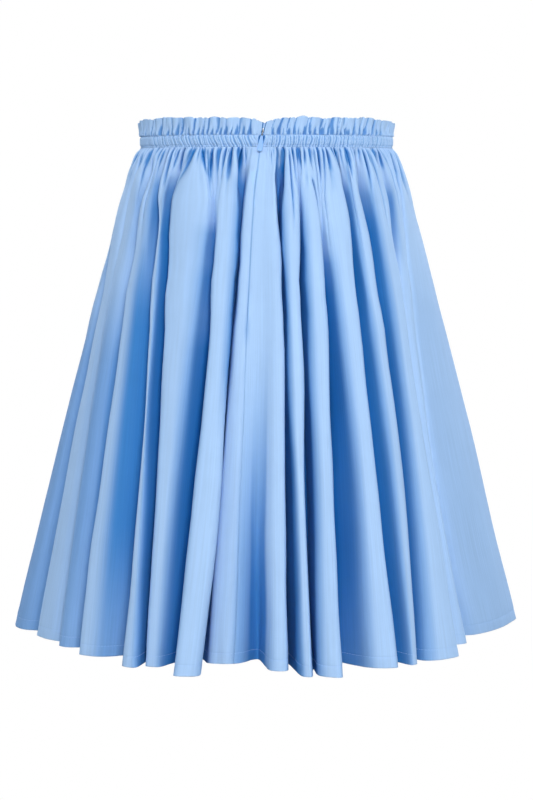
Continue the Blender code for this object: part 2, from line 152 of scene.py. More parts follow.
def mix(a, b, share):
    return a + (b - a) * share


def ease(low, high, value):
    share = min(1, max(0, (value - low) / (high - low)))
    return share * share * (3 - 2 * share)


def bell(distance, reach):
    return exp(-(distance / reach) ** 2)


def wander(x, y, z):
    return noise(Vector((x, y, z)))


# each value moves towards its two neighbours round a closed row
def evened(values, passes):
    count = len(values)
    for _ in range(passes):
        values = [(values[i - 1] + values[i] * 2 + values[(i + 1) % count]) / 4 for i in range(count)]
    return values


shapes = namedRows(shapeColumns, shapeRows)
folds = namedRows(foldColumns, backFolds + frontFolds)


# half the width and half the depth of the outline at a height
def outline(z):
    for upper, lower in zip(shapes, shapes[1:]):
        if z >= lower["z"] or lower is shapes[-1]:
            share = (z - upper["z"]) / (lower["z"] - upper["z"])
            return (mix(upper["halfWidth"], lower["halfWidth"], share),
                    mix(upper["halfDepth"], lower["halfDepth"], share))


def onOutline(bearing, inset, z):
    width, depth = outline(z)
    return Vector(((width - inset) * sin(bearing), -(depth - inset) * cos(bearing)))


def bearingAndInset(point, z):
    width, depth = outline(z)
    bearing = atan2(point.x / width, -point.y / depth)
    return bearing, width * (1 - hypot(point.x / width, point.y / depth))


# the edge nearer to the middle of the back, which rolls into the trough beside it
def rollingEdge(fold):
    return "B" if fold["hemA"] + fold["hemB"] < 0 else "A"


def foldEdges(fold, isBack):
    edges = {}
    wide = abs(fold["hemB"] - fold["hemA"]) > foldShape["turnWidth"]
    rolls = isBack and wide and fold["name"] not in flatFolds
    for side in ("A", "B"):
        hemInset = fold["in" + side] / perMetre
        if rolls and side == rollingEdge(fold):
            hemInset += foldShape["turnIn"]
        insets = (foldShape["yokeInset"], hemInset * foldShape["middleShare"], hemInset)
        edges[side] = [onOutline(radians(fold[level + side]), inset, levels[level])
                       for level, inset in zip(levelNames, insets)]
    return edges


def foldTrough(fold, following):
    turn = 360 if following is folds[0] else 0
    places = []
    for level, leanShare in zip(levelNames, leanShares):
        between = (fold[level + "B"] + following[level + "A"] + turn) / 2
        inset = fold["trough" + level.capitalize()] / perMetre * foldShape["deep" + level.capitalize()]
        places.append(onOutline(radians(between + fold["lean"] * leanShare), inset, levels[level]))
    return places


def foldCorners():
    corners = []
    for index, fold in enumerate(folds):
        following = folds[(index + 1) % len(folds)]
        isBack = index < len(backFolds)
        edges = foldEdges(fold, isBack)
        crown = []
        for first, second in zip(edges["A"], edges["B"]):
            across = second - first
            crown.append((first + second) / 2 + Vector((across.y, -across.x)) * foldShape["crown"])
        rounds = dict.fromkeys(edges, foldShape["roundSharp" if isBack else "roundFront"])
        if isBack:
            rounds[rollingEdge(fold)] = foldShape["roundSoft"]
        faceSteps = (edges["B"][-1] - edges["A"][-1]).length / foldShape["faceStep"]
        steps = {"A": round(min(foldShape["faceMost"], max(foldShape["faceFewest"], faceSteps))),
                 "B": foldShape["wallSteps"]}
        hitch = fold["hitch"] / perMetre
        for side in edges:
            corners.append({"name": fold["name"], "kind": side, "places": edges[side], "hitch": hitch,
                            "rounding": rounds[side], "steps": steps[side], "crown": crown})
        corners.append({"name": fold["name"], "kind": "trough", "places": foldTrough(fold, following),
                        "hitch": (hitch + following["hitch"] / perMetre) / 2,
                        "rounding": foldShape["roundTrough"], "steps": foldShape["wallSteps"]})
    return corners


corners = foldCorners()


# share of the way from yoke to hem, and the weights of the three levels on a curve through them
def levelWeights(z):
    share = (z - levels["yoke"]) / (levels["hem"] - levels["yoke"])
    half = (levels["middle"] - levels["yoke"]) / (levels["hem"] - levels["yoke"])
    return share, ((share - half) * (share - 1) / half,
                   share * (share - 1) / (half * (half - 1)),
                   share * (share - half) / (1 - half))


def weighted(places, weights):
    return places[0] * weights[0] + places[1] * weights[1] + places[2] * weights[2]


def bezier(start, control, end, share):
    rest = 1 - share
    return start * rest * rest + control * 2 * rest * share + end * share * share


def cornerPlaces(z, share, weights):
    places = []
    sway = foldShape["sway"] * ease(0, foldShape["swayFull"], share)
    for index, corner in enumerate(corners):
        place = weighted(corner["places"], weights)
        around = Vector((-place.y, place.x)).normalized()
        drift = wander(index * foldShape["swayApart"], z * foldShape["swayRate"], foldShape["swaySeed"])
        places.append(place + around * drift * sway)
    return places


# One closed row of points round the skirt at a height: an arc at each corner, and a curve from
# corner to corner that bulges over a fold's face.
def section(z):
    share, weights = levelWeights(z)
    places = cornerPlaces(z, share, weights)
    count = len(corners)
    crowns = [weighted(corner["crown"], weights) if "crown" in corner else None for corner in corners]
    cuts = []
    for index, corner in enumerate(corners):
        here = places[index]
        before = crowns[index] if corner["kind"] == "B" else places[index - 1]
        after = crowns[index] if corner["kind"] == "A" else places[(index + 1) % count]
        rounding = mix(foldShape["roundYoke"], corner["rounding"], share)
        cuts.append([here + leg * min(foldShape["roundLimit"], rounding / leg.length)
                     for leg in (before - here, after - here)])
    points = []
    arc = foldShape["arcSteps"]
    for index, corner in enumerate(corners):
        first, last = cuts[index]
        points += [bezier(first, places[index], last, step / (arc - 1)) for step in range(arc)]
        following = cuts[(index + 1) % count][0]
        control = (last + following) / 2
        if corner["kind"] == "A":
            ends = places[index] + places[(index + 1) % count]
            crest = crowns[index] + (ends - crowns[index] * 2) * foldShape["crownEase"]
            control = crest * 2 - control
        spans = corner["steps"] + 1
        points += [bezier(last, control, following, step / spans) for step in range(1, spans)]
    return evened(points, foldShape["smoothing"])


# A column runs from the band to the hem. Each corner owns those of its arc and of the stretch
# after it.
def columnStarts():
    starts = [0]
    for corner in corners:
        starts.append(starts[-1] + foldShape["arcSteps"] + corner["steps"])
    return starts


starts = columnStarts()
columnCount = starts[-1]
owners = [bisect_right(starts, column) - 1 for column in range(columnCount)]


def columnOf(name, kind):
    return starts[[(corner["name"], corner["kind"]) for corner in corners].index((name, kind))]


zipSeam = columnOf("zipFace", "B")
leftSeam = columnOf("leftSide", "A")
rightSeam = columnOf("rightSide", "B") + foldShape["arcSteps"] - 1

zipPlace = {
    "slitX": -0.0052,         # where the closed edges meet at the height of the origin
    "lean": radians(8.6),
}


def slitX(z):
    return zipPlace["slitX"] + z * sin(zipPlace["lean"])


def yokePolar():
    polar = [bearingAndInset(point, levels["yoke"]) for point in section(levels["yoke"])]
    bearings = [polar[0][0]]
    for bearing, _ in polar[1:]:
        while bearing < bearings[-1] - radians(180):
            bearing += radians(360)
        bearings.append(bearing)
    return bearings, [inset for _, inset in polar]


yokeBearings, yokeInsets = yokePolar()


# the columns' bearings at the waist, where the folds have evened out into gathers
def waistBearings():
    reach = round(columnCount / len(folds) * 2 * foldShape["evenOut"])
    totals = [0]
    for step in range(-reach, columnCount + reach + 1):
        lap, index = divmod(step, columnCount)
        totals.append(totals[-1] + yokeBearings[index] + radians(360) * lap)
    span = 2 * reach + 1
    spread = [(totals[column + span] - totals[column]) / span for column in range(columnCount)]
    slit = asin(slitX(levels["panelTop"]) / outline(levels["panelTop"])[0])
    pull = slit - spread[zipSeam]
    return [bearing + pull * bell(column - zipSeam, reach) for column, bearing in enumerate(spread)]


waist = waistBearings()


# each column's length round the waist from the slit, and the whole way round
def girths():
    width, depth = outline(levels["panelTop"])
    lengths = []
    total = 0
    bearing = waist[zipSeam]
    for step in range(columnCount + 1):
        lap, column = divmod(zipSeam + step, columnCount)
        there = waist[column] + radians(360) * lap
        middle = (bearing + there) / 2
        total += (there - bearing) * hypot(width * cos(middle), depth * sin(middle))
        lengths.append(total)
        bearing = there
    return [lengths[(column - zipSeam) % columnCount] for column in range(columnCount)], total


girth, girthAll = girths()

# Gathers. Girths in millimetres from the slit, negative towards the left; how deep the crease is,
# where it starts and ends under the band, how far it drifts sideways on its way down and how wide
# it spreads.
creaseColumns = ("girth", "depth", "start", "end", "drift", "spread")
backCreases = (
    (-137, 3.0, 0, 34, -5, 3.6),
    (-125, 1.6, 1, 20, -2, 2.6),
    (-115, 3.2, 0, 36, 5, 4.2),
    (-108, 2.2, 4, 105, -1, 1.2),
    (-104, 1.4, 2, 22, -2, 2.6),
    (-98, 2.2, 2, 80, 1, 1.1),
    (-92, 4.0, 0, 48, 2, 3.6),
    (-85, 1.6, 1, 24, 0, 2.4),
    (-79, 2.6, 0, 30, -2, 2.8),
    (-68, 2.4, 0, 34, 1, 3.0),
    (-60, 3.0, 0, 30, 5, 3.4),
    (-72, 2.0, 20, 120, -2, 1.0),
    (-54, 2.4, 2, 66, 3, 1.2),
    (-49, 3.4, 3, 44, -2, 3.6),
    (-40, 2.2, 0, 26, 0, 2.6),
    (-34, 1.6, 2, 22, 1, 2.4),
    (-28.5, 2.8, 0, 36, 1, 2.8),
    (-18, 3.8, 0, 52, -1, 3.4),
    (-12.5, 1.8, 1, 24, -1, 2.2),
    (10.5, 1.8, 2, 26, 1, 2.4),
    (16.5, 2.6, 0, 40, 1, 2.6),
    (22, 4.0, 0, 46, 0, 2.8),
    (27.5, 2.4, 4, 100, 0, 1.0),
    (32, 2.8, 0, 38, 0, 3.0),
    (35.5, 2.0, 6, 76, -1, 1.0),
    (44, 2.6, 30, 125, 9, 1.6),
    (39, 2.2, 1, 30, 1, 2.6),
    (47, 1.6, 2, 24, 0, 2.4),
    (52, 2.4, 4, 84, 2, 1.2),
    (64, 2.0, 22, 118, -2, 1.0),
    (56.5, 3.0, 0, 40, 1, 3.4),
    (66, 1.8, 1, 26, 1, 2.6),
    (76, 3.8, 0, 44, 2, 3.8),
    (89, 2.8, 0, 36, 0, 3.2),
    (86, 2.2, 12, 122, 3, 1.0),
    (93.5, 2.2, 4, 84, 1, 1.1),
    (97.5, 2.6, 0, 34, 1, 2.8),
    (108, 3.2, 2, 46, 1, 4.4),
    (115, 2.4, 2, 98, 1, 1.1),
    (121.5, 3.0, 0, 38, 2, 3.6),
    (126.5, 2.4, 3, 106, 1, 1.1),
    (137, 2.2, 8, 92, 2, 1.1),
    (131, 1.6, 1, 24, 1, 2.6),
    (141.5, 2.6, 0, 32, 2, 3.0),
    (153, 2.4, 0, 34, 3, 3.2),
)
gathers = {
    "seed": 12,
    "finePitch": 0.0047,
    "fineJitter": 0.45,
    "fineEnds": 0.006,        # from the slit to the first small gather
    "finePuff": 0.9,          # height of a gather over its width
    "fineMost": 0.008,        # a wider gather rises no higher than one this wide
    "fineAtBand": 0.45,       # share of the height right under the band
    "fineRise": 0.004,
    "fineFade": 0.017,
    "fineWander": 0.0012,
    "wanderAlong": 60,
    "wanderDown": 50,
    "puff": 0.36,
    "puffMost": 0.014,
    "puffPeak": 0.012,
    "puffFade": 0.050,
    "flatByZip": 0.011,
    "hiddenPitch": 0.0105,
    "hiddenJitter": 0.5,
    "hiddenFrom": 0.166,      # girth each way where the made-up creases take over
    "hiddenPast": 0.016,      # how much farther they reach on the left
    "lastGap": 0.6,           # of a pitch; a narrower last gap is joined to the one before
    "longest": 0.13,
}
# limits of the made-up creases
hiddenCreases = {
    "depth": (0.0015, 0.0038),
    "start": (0, 0.002),
    "end": (0.022, 0.048),
    "drift": (-0.003, 0.003),
    "spread": (0.0024, 0.0040),
}
creaseShape = {
    "widest": 0.012,
    "deeper": 2.1,            # a crease is this much deeper than in the table
    "sharp": 1.9,
    "spreadTop": 0.6,         # of its spread where it starts
    "spreadMore": 0.6,        # and what its spread gains by its end
    "startFrom": -0.004,      # it deepens between these distances from its start
    "startTo": 0.006,
    "fade": 1.5,
}
# A puff leans over one way or the other, two in every five the first way.
pleat = {
    "leanOne": 1.7,
    "leanOther": 1.6,
    "order": 7,
    "outOf": 5,
    "first": 2,
    "round": 0.65,
    "sink": 0.6,
}
dice = Random(gathers["seed"])


def jittered(first, last, pitch, jitter):
    places = [first]
    while places[-1] < last - pitch * gathers["lastGap"]:
        places.append(places[-1] + pitch * (1 + jitter * dice.uniform(-1, 1)))
    places[-1] = last
    return places


def allCreases():
    creases = []
    for row in namedRows(creaseColumns, backCreases):
        crease = {name: value / perMetre for name, value in row.items()}
        if crease["girth"] < 0:
            crease["girth"] += girthAll
        creases.append(crease)
    hidden = jittered(gathers["hiddenFrom"], girthAll - gathers["hiddenFrom"] + gathers["hiddenPast"],
                      gathers["hiddenPitch"], gathers["hiddenJitter"])
    for place in hidden:
        drawn = {name: dice.uniform(*limits) for name, limits in hiddenCreases.items()}
        creases.append({"girth": place, **drawn})
    return sorted(creases, key=lambda crease: crease["girth"])


creases = allCreases()
creasePlaces = [crease["girth"] for crease in creases]
fineLines = jittered(gathers["fineEnds"], girthAll - gathers["fineEnds"],
                     gathers["finePitch"], gathers["fineJitter"])


# width of the puff between two lines, and its height at a place, which is lowest at the lines
def scallop(lines, place):
    index = bisect_right(lines, place)
    if index == 0 or index == len(lines):
        return 0, 0
    gap = lines[index] - lines[index - 1]
    phase = (place - lines[index - 1]) / gap
    if index * pleat["order"] % pleat["outOf"] < pleat["first"]:
        phase = phase ** pleat["leanOne"]
    else:
        phase = 1 - (1 - phase) ** pleat["leanOther"]
    return gap, sin(pi * phase) ** pleat["round"] - pleat["sink"]


def creaseDip(place, down):
    first = bisect_right(creasePlaces, place - creaseShape["widest"])
    last = bisect_right(creasePlaces, place + creaseShape["widest"])
    dip = 0
    for crease in creases[first:last]:
        if down > crease["end"]:
            continue
        travel = down / crease["end"]
        away = abs(place - crease["girth"] - crease["drift"] * travel)
        spread = crease["spread"] * (creaseShape["spreadTop"] + creaseShape["spreadMore"] * travel)
        if away < spread:
            strength = ease(creaseShape["startFrom"], creaseShape["startTo"], down - crease["start"])
            strength *= (1 - travel ** 2) ** creaseShape["fade"]
            dip += crease["depth"] * creaseShape["deeper"] * strength \
                * (1 - away / spread) ** creaseShape["sharp"]
    return dip


def gatherHeight(place, down):
    byZip = min(place, girthAll - place) / gathers["flatByZip"]
    free = 1 - exp(-byZip ** 4)
    drift = wander(place * gathers["wanderAlong"], down * gathers["wanderDown"], 0)
    gap, wave = scallop(fineLines, place + drift * gathers["fineWander"])
    fine = mix(gathers["fineAtBand"], 1, ease(0, gathers["fineRise"], down))
    fine *= bell(down, gathers["fineFade"])
    height = min(gap, gathers["fineMost"]) * gathers["finePuff"] * wave * fine
    gap, wave = scallop(creasePlaces, place)
    swell = ease(0, gathers["puffPeak"], down) * bell(down, gathers["puffFade"])
    height += min(gap, gathers["puffMost"]) * gathers["puff"] * wave * swell
    return (height - creaseDip(place, down)) * free


cloth = {
    "wall": 0.0005,
    "seamGap": 0.00003,
    "topRows": 32,
    "topPower": 1.15,         # rows are closer together towards the band
    "bodyRows": 24,
    "bodyPower": 1.25,
    "evenPasses": 24,         # of evening out the step from gathers to folds
    "evenAmount": 0.5,
    "evenStart": 0.006,       # it comes in and fades out at these depths under the band
    "evenFull": 0.02,
    "evenFade": 0.10,
    "evenEnd": 0.16,
    "evenFirst": 4,
    "evenLast": 16,
    "hitchPasses": 12,
    "normalPasses": 3,
}
hem = {
    "turn": 0.0115,           # depth of the turned hem
    "layers": 0.0009,         # what its two turns add to the wall
    "turnFrom": 0.0004,       # the step to the turn lies between these, past its depth
    "turnTo": -0.0006,
    "edge": 0.0004,           # rows lower than this are pinched
    "edgeShare": 0.5,         # to this share of their wall
    "zone": 0.020,            # height of the hem's own rows, which lie closer together
    "rows": (0.0150, 0.0130, 0.0119, 0.0112, 0.0107, 0.0102, 0.0097, 0.0090,
             0.0070, 0.0045, 0.0020, 0.0007, 0),
    "from": 0.48,             # depth under the band from which the hem draws the cloth in
    "stitch": 0.0102,
    "pull": 0.00018,
    "pullReach": 0.0010,
    "ripple": 0.00045,
    "rippleRound": 160,
    "rippleUp": 60,
    "rippleTop": 0.020,
    "rippleFull": 0.010,
}
seams = {
    "zone": 0.02,
    "walk": 0.03,
    "dip": 0.0009,
    "zipReach": 0.0022,
    "zipBelow": -0.012,       # heights over the foot of the zip, where it ends and fades out
    "zipFadeFrom": -0.010,
    "zipFadeTo": 0.004,
    "pucker": 0.0006,
    "puckerReach": 0.010,
    "puckerStart": 0.01,
    "puckerRound": 90,
    "puckerDown": 85,
    "puckerSeed": 9.0,
    "plainShare": 0.5,
    "plainReach": 0.0014,
}
# Soft wrinkles. Turns of the noise in a metre round the waist and down, how it slants, its seed,
# its height, and the depths under the band where it starts, is full, fades and ends.
wrinkleColumns = ("across", "slant", "down", "seed", "height", "start", "full", "fade", "end")
wrinkleRows = (
    (45, 0, 9, 4, 0.0011, 0.010, 0.050, 0.90, 1.00),
    (52, 16, 17, 8, 0.0021, 0.008, 0.035, 0.10, 0.26),
    (95, -34, 30, 2, 0.000945, 0.008, 0.035, 0.10, 0.26),
)
wrinkles = namedRows(wrinkleColumns, wrinkleRows)
# the same in space, so that it doesn't follow the folds
slowWrinkle = {
    "round": 30,
    "up": 14,
    "height": 0.0011,
    "start": 0.01,
    "full": 0.05,
}


def rowShares():
    whole = levels["panelTop"] - levels["hem"]
    yokeShare = (levels["panelTop"] - levels["yoke"]) / whole
    hemShare = 1 - hem["zone"] / whole
    shares = [yokeShare * (i / cloth["topRows"]) ** cloth["topPower"] for i in range(cloth["topRows"])]
    for i in range(cloth["bodyRows"] + 1):
        shares.append(mix(yokeShare, hemShare, (i / cloth["bodyRows"]) ** cloth["bodyPower"]))
    return shares + [1 - height / whole for height in hem["rows"]]


def rowNormals(row, closed=True):
    normals = []
    last = len(row) - 1
    for index, point in enumerate(row):
        before = row[index - 1] if closed or index else row[0]
        after = row[(index + 1) % len(row)] if closed or index < last else row[last]
        along = Vector((after.x - before.x, after.y - before.y))
        along = along.normalized() if along.length > 0 else Vector((1, 0))
        normals.append(Vector((along.y, -along.x, 0)))
    return normals


def smoothNormals(normals, passes):
    for _ in range(passes):
        normals = [normal.normalized() for normal in evened(normals, 1)]
    return normals


# for every column its signed distance along the row from the zip, the left and the right seam
def seamDistances(row):
    marks = []
    for seam in (zipSeam, leftSeam, rightSeam):
        distances = [1.0] * columnCount
        for step in (1, -1):
            total = 0
            column = seam
            distances[seam] = 0
            while total < seams["walk"]:
                there = (column + step) % columnCount
                total += (row[there] - row[column]).length
                distances[there] = total * step
                column = there
        marks.append(distances)
    return list(zip(*marks))


def zipShare(level):
    return ease(levels["zipEnd"] + seams["zipFadeFrom"], levels["zipEnd"] + seams["zipFadeTo"], level)


# Painted shade on the cloth's colour, which darkens its valleys: 0 is the cloth's own colour, 1 the darkest.
paintedShade = {
    "smallWindow": 7,         # columns each way, in which a gather's crest is looked for
    "smallScale": 0.0026,
    "smallFrom": 0.3,
    "smallTo": 1.1,
    "smallShare": 0.74,
    "nearFrom": 0.060,        # gathers paint shade onto the cloth between these depths under the band
    "nearTo": 0.012,
    "topShare": 0.62,         # of the folds' painted shade right under the band
    "topFrom": 0.01,
    "topTo": 0.09,
    "seamShade": 0.46,        # of the line along the zip
    "seamLine": 0.0006,       # its half width
    "seamBelow": 0.30,        # share left below the zip and at the side seams
    "endPucker": 0.0024,      # reach of the pucker at the foot of the zip
    "endShade": 0.30,
    "dipLeast": 0.0006,
    "dipMost": 0.0042,
    "softArc": 0.80,          # painted shade where the edge that rolls in meets the wall
    "softFace": 0.32,         # and where it meets the face
    "sharpArc": 0.42,
    "wall": 0.88,
    "rollShare": 0.36,        # of a face, next to the edge that rolls into the trough
    "leastGap": 0.004,
    "leastDepth": 0.003,
    "fullDepth": 0.012,
    "openRatio": 0.35,        # depth over width of a valley that is still light
    "closedRatio": 1.25,      # and of one that is wholly dark
    "hemZone": 0.14,          # height over which a face's shade changes towards the hem
    "passes": 3,
}
# Faces that turn away from the light: how dark the second edge is, the share of the face next to
# it that is that dark, the share by which it has died out, how dark the wall beyond the edge is,
# the heights between which it comes in, and how much of it is left at the hem.
shadeColumns = ("name", "shade", "flat", "reach", "wall", "top", "foot", "atHem")
shadeRows = (
    ("leftSide", 0.42, 0.60, 1.60, 0.50, -0.10, -0.24, 1.00),
    ("back1", 0.14, 0.05, 0.50, 0.35, -0.12, -0.26, 1.00),
    ("back2", 0.46, 0.46, 1.30, 0.65, -0.10, -0.24, 0.85),
    ("back3", 0.78, 0.12, 0.64, 0.80, -0.02, -0.19, 0.66),
    ("back6", 0.06, 0.00, 0.30, 0.75, -0.14, -0.32, 1.00),
    ("zipFace", 0.50, 0.06, 0.36, 0.78, -0.18, -0.46, 1.00),
    ("rightSide", 0.10, 1.00, 1.40, 0.20, -0.08, -0.20, 1.00),
)


# the side of a fold's face that rolls in, for one of its corners; none on the front
def softEdge(index):
    fold = index // cornersEach
    return rollingEdge(folds[fold]) if fold < len(backFolds) else None


def arcPaintedShade(index, side):
    return paintedShade["softArc"] if softEdge(index) == side else paintedShade["sharpArc"]


# every column's painted shade in a deep valley, from where it lies on its fold
def columnPaintedShades():
    shades = []
    arc = foldShape["arcSteps"]
    roll = paintedShade["rollShare"]
    for index, corner in enumerate(corners):
        kind = corner["kind"]
        soft = softEdge(index)
        spans = corner["steps"] + 1
        along = [step / spans for step in range(1, spans)]
        if kind == "trough":
            outer = arcPaintedShade((index + 1) % len(corners), "A")
            shades += [1] * arc
            shades += [mix(paintedShade["wall"], outer, x) for x in along]
            continue
        outer = arcPaintedShade(index, kind)
        inner = paintedShade["softFace"] if soft == kind else 0
        arcShades = [mix(outer, inner, step / (arc - 1)) for step in range(arc)]
        if kind == "A":
            near = paintedShade["softFace"] if soft == "A" else 0
            far = paintedShade["softFace"] if soft == "B" else 0
            shades += arcShades + [near * ease(roll, 0, x) + far * ease(1 - roll, 1, x) for x in along]
        else:
            shades += arcShades[::-1] + [mix(outer, paintedShade["wall"], x) for x in along]
    return evened(shades, paintedShade["passes"])


def columnShades():
    half = foldShape["arcSteps"] // 2
    names = [fold["name"] for fold in folds]
    bands = []
    for row in namedRows(shadeColumns, shadeRows):
        first = cornersEach * names.index(row["name"])
        begin, edge, end = starts[first], starts[first + 1] + half, starts[first + cornersEach]
        shades = [0.0] * columnCount
        for column in range(begin, edge):
            away = (edge - column) / (edge - begin)
            shades[column] = row["shade"] * ease(row["reach"], row["flat"], away)
        shades[edge:edge + half] = [row["shade"]] * half
        shades[edge + half:end] = [row["wall"]] * (end - edge - half)
        bands.append({**row, "shades": evened(shades, paintedShade["passes"])})
    return bands


foldPaintedShades = columnPaintedShades()
faceShades = columnShades()


# the columns at a valley's two edges and its trough, and the columns that its painted shade covers
def valleyMarks():
    half = foldShape["arcSteps"] // 2
    valleys = []
    for index, corner in enumerate(corners):
        if corner["kind"] == "trough":
            face = index - 2
            valleys.append({
                "edge": starts[index - 1] + half,
                "trough": starts[index] + half,
                "next": starts[(index + 1) % len(corners)] + half,
                "first": starts[face] + foldShape["arcSteps"] + corners[face]["steps"] // 2,
            })
    for valley, following in zip(valleys, valleys[1:] + valleys[:1]):
        valley["last"] = following["first"]
    return valleys


valleys = valleyMarks()


# how far each value lies under the highest one in its window
def depthsBelow(insets, window, closed=True):
    count = len(insets)
    depths = []
    for index, inset in enumerate(insets):
        reach = range(index - window, index + window + 1)
        if closed:
            crest = min(insets[i % count] for i in reach)
        else:
            crest = min(insets[min(count - 1, max(0, i))] for i in reach)
        depths.append(inset - crest)
    return depths


# painted shade along the zip's seam line, the side seams and the pucker at the zip's foot
def seamPaintedShade(away, sides, level):
    share = mix(paintedShade["seamBelow"], 1, zipShare(level))
    line = share * bell(away, paintedShade["seamLine"])
    for side in sides:
        line = max(line, paintedShade["seamBelow"] * bell(side, paintedShade["seamLine"]))
    foot = bell(level - levels["zipEnd"], paintedShade["endPucker"]) * bell(away, paintedShade["endPucker"])
    return max(paintedShade["seamShade"] * line, paintedShade["endShade"] * foot)


# how strongly each valley's painted shade shows, from how deep it is for its width
def valleyStrengths(points):
    strengths = [0.0] * columnCount
    for valley in valleys:
        edge, trough, following = (points[valley[key]] for key in ("edge", "trough", "next"))
        across = (following - edge).to_2d()
        gap = max(across.length, paintedShade["leastGap"])
        inwards = Vector((-across.y, across.x)).normalized()
        depth = (trough - edge).to_2d().dot(inwards)
        strength = ease(paintedShade["openRatio"], paintedShade["closedRatio"], depth / gap)
        strength *= ease(paintedShade["leastDepth"], paintedShade["fullDepth"], depth)
        column = valley["first"]
        while column != valley["last"]:
            strengths[column] = strength
            column = (column + 1) % columnCount
    return strengths


def turnedShades(level):
    turned = [0.0] * columnCount
    nearHem = ease(levels["hem"] + paintedShade["hemZone"], levels["hem"], level)
    for band in faceShades:
        amount = ease(band["top"], band["foot"], level) * mix(1, band["atHem"], nearHem)
        if amount > 0:
            turned = [max(so, shade * amount) for so, shade in zip(turned, band["shades"])]
    return turned


# a row's painted shade: valleys, faces turned from the light, seams and the gathers' creases darkened in the
# colour
def rowPaintedShade(points, level, down, lifts, distances):
    strengths = valleyStrengths(points)
    turned = turnedShades(level)
    small = depthsBelow([-lift for lift in lifts], paintedShade["smallWindow"])
    nearTop = ease(paintedShade["nearFrom"], paintedShade["nearTo"], down) * paintedShade["smallShare"]
    lower = mix(paintedShade["topShare"], 1, ease(paintedShade["topFrom"], paintedShade["topTo"], down))
    shades = []
    for column in range(columnCount):
        # painted shade in the gathers' creases and dips
        gather = ease(paintedShade["smallFrom"], paintedShade["smallTo"], small[column] / paintedShade["smallScale"]) * nearTop
        dip = creaseDip(girth[column], down) if down < gathers["longest"] else 0
        gather = max(gather, ease(paintedShade["dipLeast"], paintedShade["dipMost"], dip))
        away, *sides = distances[column]
        shade = max(foldPaintedShades[column] * strengths[column] * lower, turned[column],
                    seamPaintedShade(away, sides, level))
        shades.append(min(1, shade + gather * (1 - shade)))
    return shades


# the flat places of a row; above the yoke its folds close up into the even gathers
def flatPlaces(level):
    if level <= levels["yoke"]:
        return section(level)
    run = (levels["panelTop"] - level) / (levels["panelTop"] - levels["yoke"])
    spread = run ** foldShape["gatherPower"]
    return [onOutline(mix(high, low, run), inset * spread, level)
            for high, low, inset in zip(waist, yokeBearings, yokeInsets)]


# the step from gathers to folds is evened out down each column
def evenedDown(rows):
    for _ in range(cloth["evenPasses"]):
        before = [row[:] for row in rows]
        for order in range(cloth["evenFirst"], len(rows) - cloth["evenLast"]):
            down = levels["panelTop"] - rows[order][0].z
            amount = ease(cloth["evenStart"], cloth["evenFull"], down)
            amount *= ease(cloth["evenEnd"], cloth["evenFade"], down) * cloth["evenAmount"]
            if amount == 0:
                continue
            upper, here, lower = before[order - 1], before[order], before[order + 1]
            rise = upper[0].z - here[0].z
            fall = here[0].z - lower[0].z
            for column in range(columnCount):
                between = upper[column].lerp(lower[column], rise / (rise + fall))
                rows[order][column] = here[column].lerp(between, amount)


def baseRows(shares):
    rows = []
    for share in shares:
        level = mix(levels["panelTop"], levels["hem"], share)
        rows.append([Vector((flat.x, flat.y, level)) for flat in flatPlaces(level)])
    evenedDown(rows)
    # a hitch changes from fold to fold, so it is evened out round the row
    hitches = evened([corners[owner]["hitch"] for owner in owners], cloth["hitchPasses"])
    for share, row in zip(shares, rows):
        for point, hitch in zip(row, hitches):
            point.z += hitch * share
    return rows


def wrinkleLift(point, place, down):
    lift = 0
    for layer in wrinkles:
        amount = ease(layer["start"], layer["full"], down) * ease(layer["end"], layer["fade"], down)
        if amount > 0:
            across = place * layer["across"] + down * layer["slant"]
            lift += wander(across, down * layer["down"], layer["seed"]) * layer["height"] * amount
    turns = slowWrinkle["round"]
    slow = wander(point.x * turns, point.y * turns, point.z * slowWrinkle["up"])
    return lift + slow * slowWrinkle["height"] * ease(slowWrinkle["start"], slowWrinkle["full"], down)


def plainSeam(away):
    return -seams["dip"] * seams["plainShare"] * bell(away, seams["plainReach"])


# A seam draws the cloth in along a line, and along the zip it puckers the cloth as well.
def seamLift(away, sides, level, down, z):
    lift = sum(plainSeam(side) for side in sides if abs(side) < seams["zone"])
    if abs(away) >= seams["zone"]:
        return lift
    if level <= levels["zipEnd"] + seams["zipBelow"]:
        return lift + plainSeam(away)
    pucker = wander(away * seams["puckerRound"], z * seams["puckerDown"], seams["puckerSeed"])
    lift += pucker * seams["pucker"] * bell(away, seams["puckerReach"]) * ease(0, seams["puckerStart"], down)
    return lift - seams["dip"] * bell(away, seams["zipReach"]) * zipShare(level)


def hemLift(point, height):
    ripple = wander(point.x * hem["rippleRound"], point.y * hem["rippleRound"], height * hem["rippleUp"])
    lift = ripple * hem["ripple"] * ease(hem["rippleTop"], hem["rippleFull"], height)
    return lift - hem["pull"] * bell(height - hem["stitch"], hem["pullReach"])


def skirtRows():
    shares = rowShares()
    rows = []
    for share, row in zip(shares, baseRows(shares)):
        level = mix(levels["panelTop"], levels["hem"], share)
        down = levels["panelTop"] - level
        height = level - levels["hem"]
        normals = smoothNormals(rowNormals(row), cloth["normalPasses"])
        distances = seamDistances(row)
        lifts = []
        for column, point in enumerate(row):
            away, *sides = distances[column]
            lift = wrinkleLift(point, girth[column], down) + seamLift(away, sides, level, down, point.z)
            if down < gathers["longest"]:
                lift += gatherHeight(girth[column], down)
            if down > hem["from"]:
                lift += hemLift(point, height)
            lifts.append(lift)
        moved = [point + normal * lift for point, normal, lift in zip(row, normals, lifts)]
        rows.append({"points": moved, "height": height, "level": level,
                     "paintedShade": rowPaintedShade(moved, level, down, lifts, distances)})
    return rows


def uvLayer(mesh, name, values):
    layer = mesh.uv_layers.new(name=name)
    for loop in mesh.loops:
        layer.data[loop.index].uv = values[loop.vertex_index]


